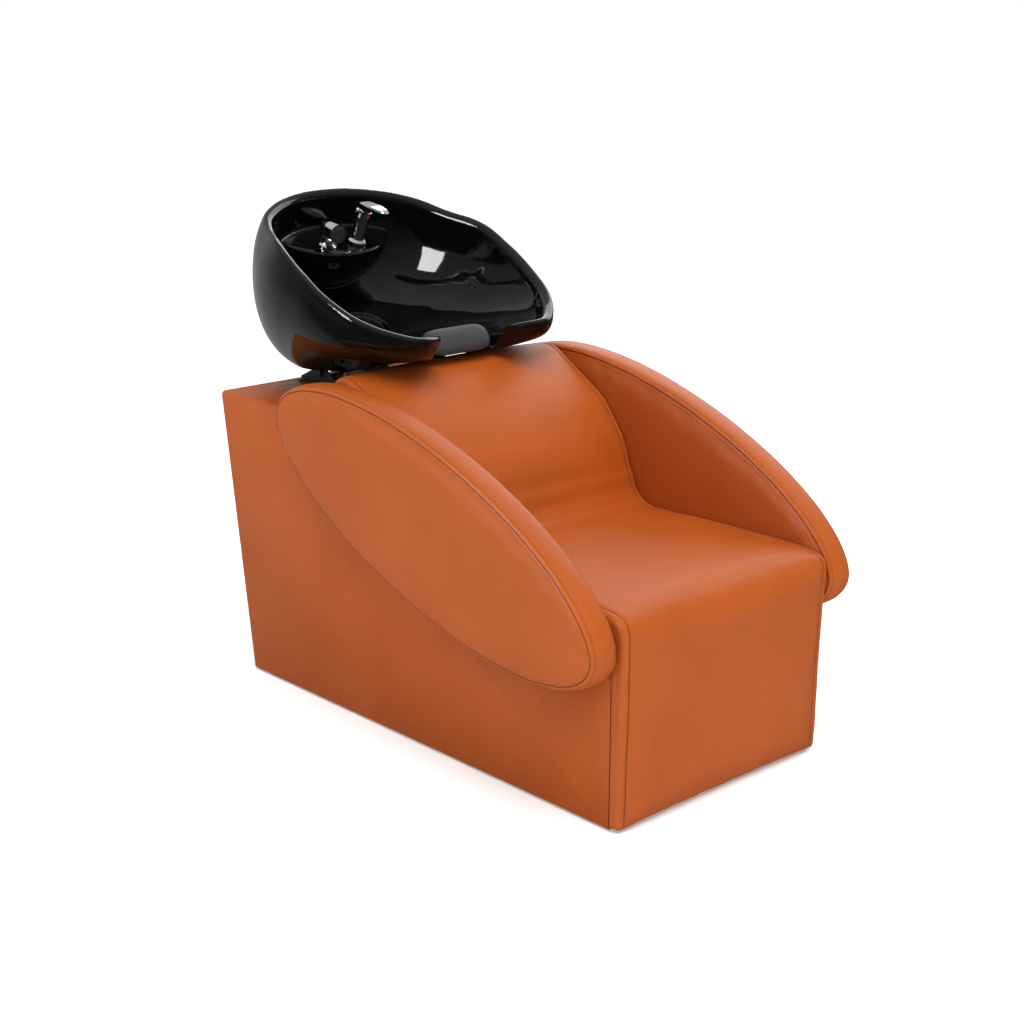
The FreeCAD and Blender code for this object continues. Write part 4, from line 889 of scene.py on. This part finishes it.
def makeNeckRest():
    along, rise, lip = notchFrame()
    corners = np.array(neckPad["section"] + neckPad["section"][:1], float)
    section = smoothLine(corners, neckPad["step"])[:-1]
    middle = np.array(neckPad["middle"])
    rings = []
    for turn in np.radians(np.linspace(-90, 90, neckPad["across"])):
        share = math.sin(turn)
        taper = max(neckPad["least"], (1 - abs(share) ** neckPad["round"]) ** neckPad["taper"])
        spots = middle + (section - middle) * taper
        side = (neckPad["half"] * share, 0, 0)
        rings.append([lip + along * reach + rise * height + side for reach, height in spots])
    piece = ringSolid("neckPad", rings)
    modify(piece, "SUBSURF", levels=1, render_levels=1)
    settle(piece)
    dress(piece, "grey_gel", "basin", "neck_rest")


makeNeckRest()
print("neck rest made")

# Studio, in metres
studio = {
    "camera": (-2.5413, -2.7973, 1.5425), "turn": (90 - 16.245, 0, -42.711), "lens": 62.73, "sensor": 36.0,
    "sky": {
        "backdrop": 1.0, "low": 0.10, "side": 0.22, "top": 0.72, "horizon": -0.05, "bend": 0.15,
        "rear": 0.34, "rearFrom": 0.6, "rearFull": 0.95,
    },
    "sun": {"turn": (18, -14, 0), "strength": 2.3, "soft": 45},
    "floor": {
        "dark": (0.90, 0.90, 0.90), "bright": (0.93, 0.93, 0.93), "clouds": (3.0, 2.0), "rough": 0.85,
        "specular": 0.2, "glow": 0.2, "half": 60.0,
    },
    # name, place, aim, size, power, and whether it lights matt surfaces, shows in glossy ones, or both
    "lights": [
        ("leftPanel", (-3.2, -0.9, 0.5), (0, 0, 0.3), (2.4, 0.9), 12.0, "matt"),
        ("leftRearPanel", (-2.4, 2.6, 1.2), (0, 0.3, 0.7), (2.0, 1.6), 9.0, "matt"),
        ("frontPanel", (-1.2, -3.6, 0.9), (0, 0, 0.4), (2.2, 1.4), 20.0, "matt"),
        ("rightPanel", (2.5, 1.0, 2.1), (0, 0, 0.6), (3.2, 1.8), 40.0, "both"),
        ("window", (-2.9, 0.1, 2.1), (0.24, 0.45, 1.0), (0.8, 1.3), 80.0, "glossy"),
    ],
}


class Sky(Finish):
    def __init__(self, name):
        self.world = bpy.data.worlds.new(name)
        self.world.use_nodes = True
        self.tree = self.world.node_tree
        self.shader = self.tree.nodes["Background"]


def makeSky():
    # a white backdrop; the light has a bright ceiling, dimmer walls and a brighter stretch behind the unit
    sky, light = Sky("studioWorld"), studio["sky"]
    way = {0: sky.node("ShaderNodeTexCoord", out="Generated")}
    up, back = (sky.node("ShaderNodeSeparateXYZ", {}, way, axis) for axis in "ZY")
    level = sky.spread(up, light["low"], light["side"], light["horizon"], light["bend"])
    level = level + sky.spread(up, 0.0, light["top"] - light["side"], light["bend"], 1.0)
    level = level + sky.spread(back, 0.0, light["rear"], light["rearFrom"], light["rearFull"])
    seen = sky.node("ShaderNodeLightPath", out="Is Camera Ray")
    sky.feed(Color=(1, 1, 1), Strength=level * (1 - seen) + seen * light["backdrop"])
    return sky.world


def makeStudio():
    scene = bpy.context.scene
    camera = bpy.data.objects.new("photoCamera", bpy.data.cameras.new("photoCamera"))
    camera.data.sensor_width = studio["sensor"]
    camera.data.lens = studio["lens"]
    camera.location = studio["camera"]
    camera.rotation_euler = [math.radians(turn) for turn in studio["turn"]]
    scene.collection.objects.link(camera)
    scene.camera = camera
    for name, place, aim, size, power, kind in studio["lights"]:
        lamp = bpy.data.lights.new(name, "AREA")
        lamp.shape = "RECTANGLE"
        lamp.energy = power
        lamp.size, lamp.size_y = size
        holder = bpy.data.objects.new(name, lamp)
        holder.location = place
        holder.rotation_euler = (Vector(aim) - Vector(place)).to_track_quat("-Z", "Y").to_euler()
        holder.visible_camera = False
        holder.visible_diffuse, holder.visible_glossy = kind != "glossy", kind != "matt"
        scene.collection.objects.link(holder)
    sun = bpy.data.objects.new("overheadSun", bpy.data.lights.new("overheadSun", "SUN"))
    sun.data.energy = studio["sun"]["strength"]
    sun.data.angle = math.radians(studio["sun"]["soft"])
    sun.rotation_euler = [math.radians(angle) for angle in studio["sun"]["turn"]]
    sun.visible_glossy = False  # no round disc in the glaze
    scene.collection.objects.link(sun)
    scene.view_settings.view_transform = "Standard"
    scene.world = makeSky()
    ground = studio["floor"]
    finish = Finish("paleFloor", Specular_IOR_Level=ground["specular"], Roughness=ground["rough"])
    finish.feed(Emission_Color=(1, 1, 1), Emission_Strength=ground["glow"])
    finish.feed(Base_Color=finish.between(finish.noise(*ground["clouds"]), ground["dark"], ground["bright"]))
    wide = ground["half"] / mm
    corners = [(-wide, -wide, 0), (wide, -wide, 0), (wide, wide, 0), (-wide, wide, 0)]
    floor = addMesh("studioFloor", corners, [(0, 1, 2, 3)])
    floor.data.materials.append(finish.material)
    floor.visible_glossy = False


makeStudio()
print("studio ready")
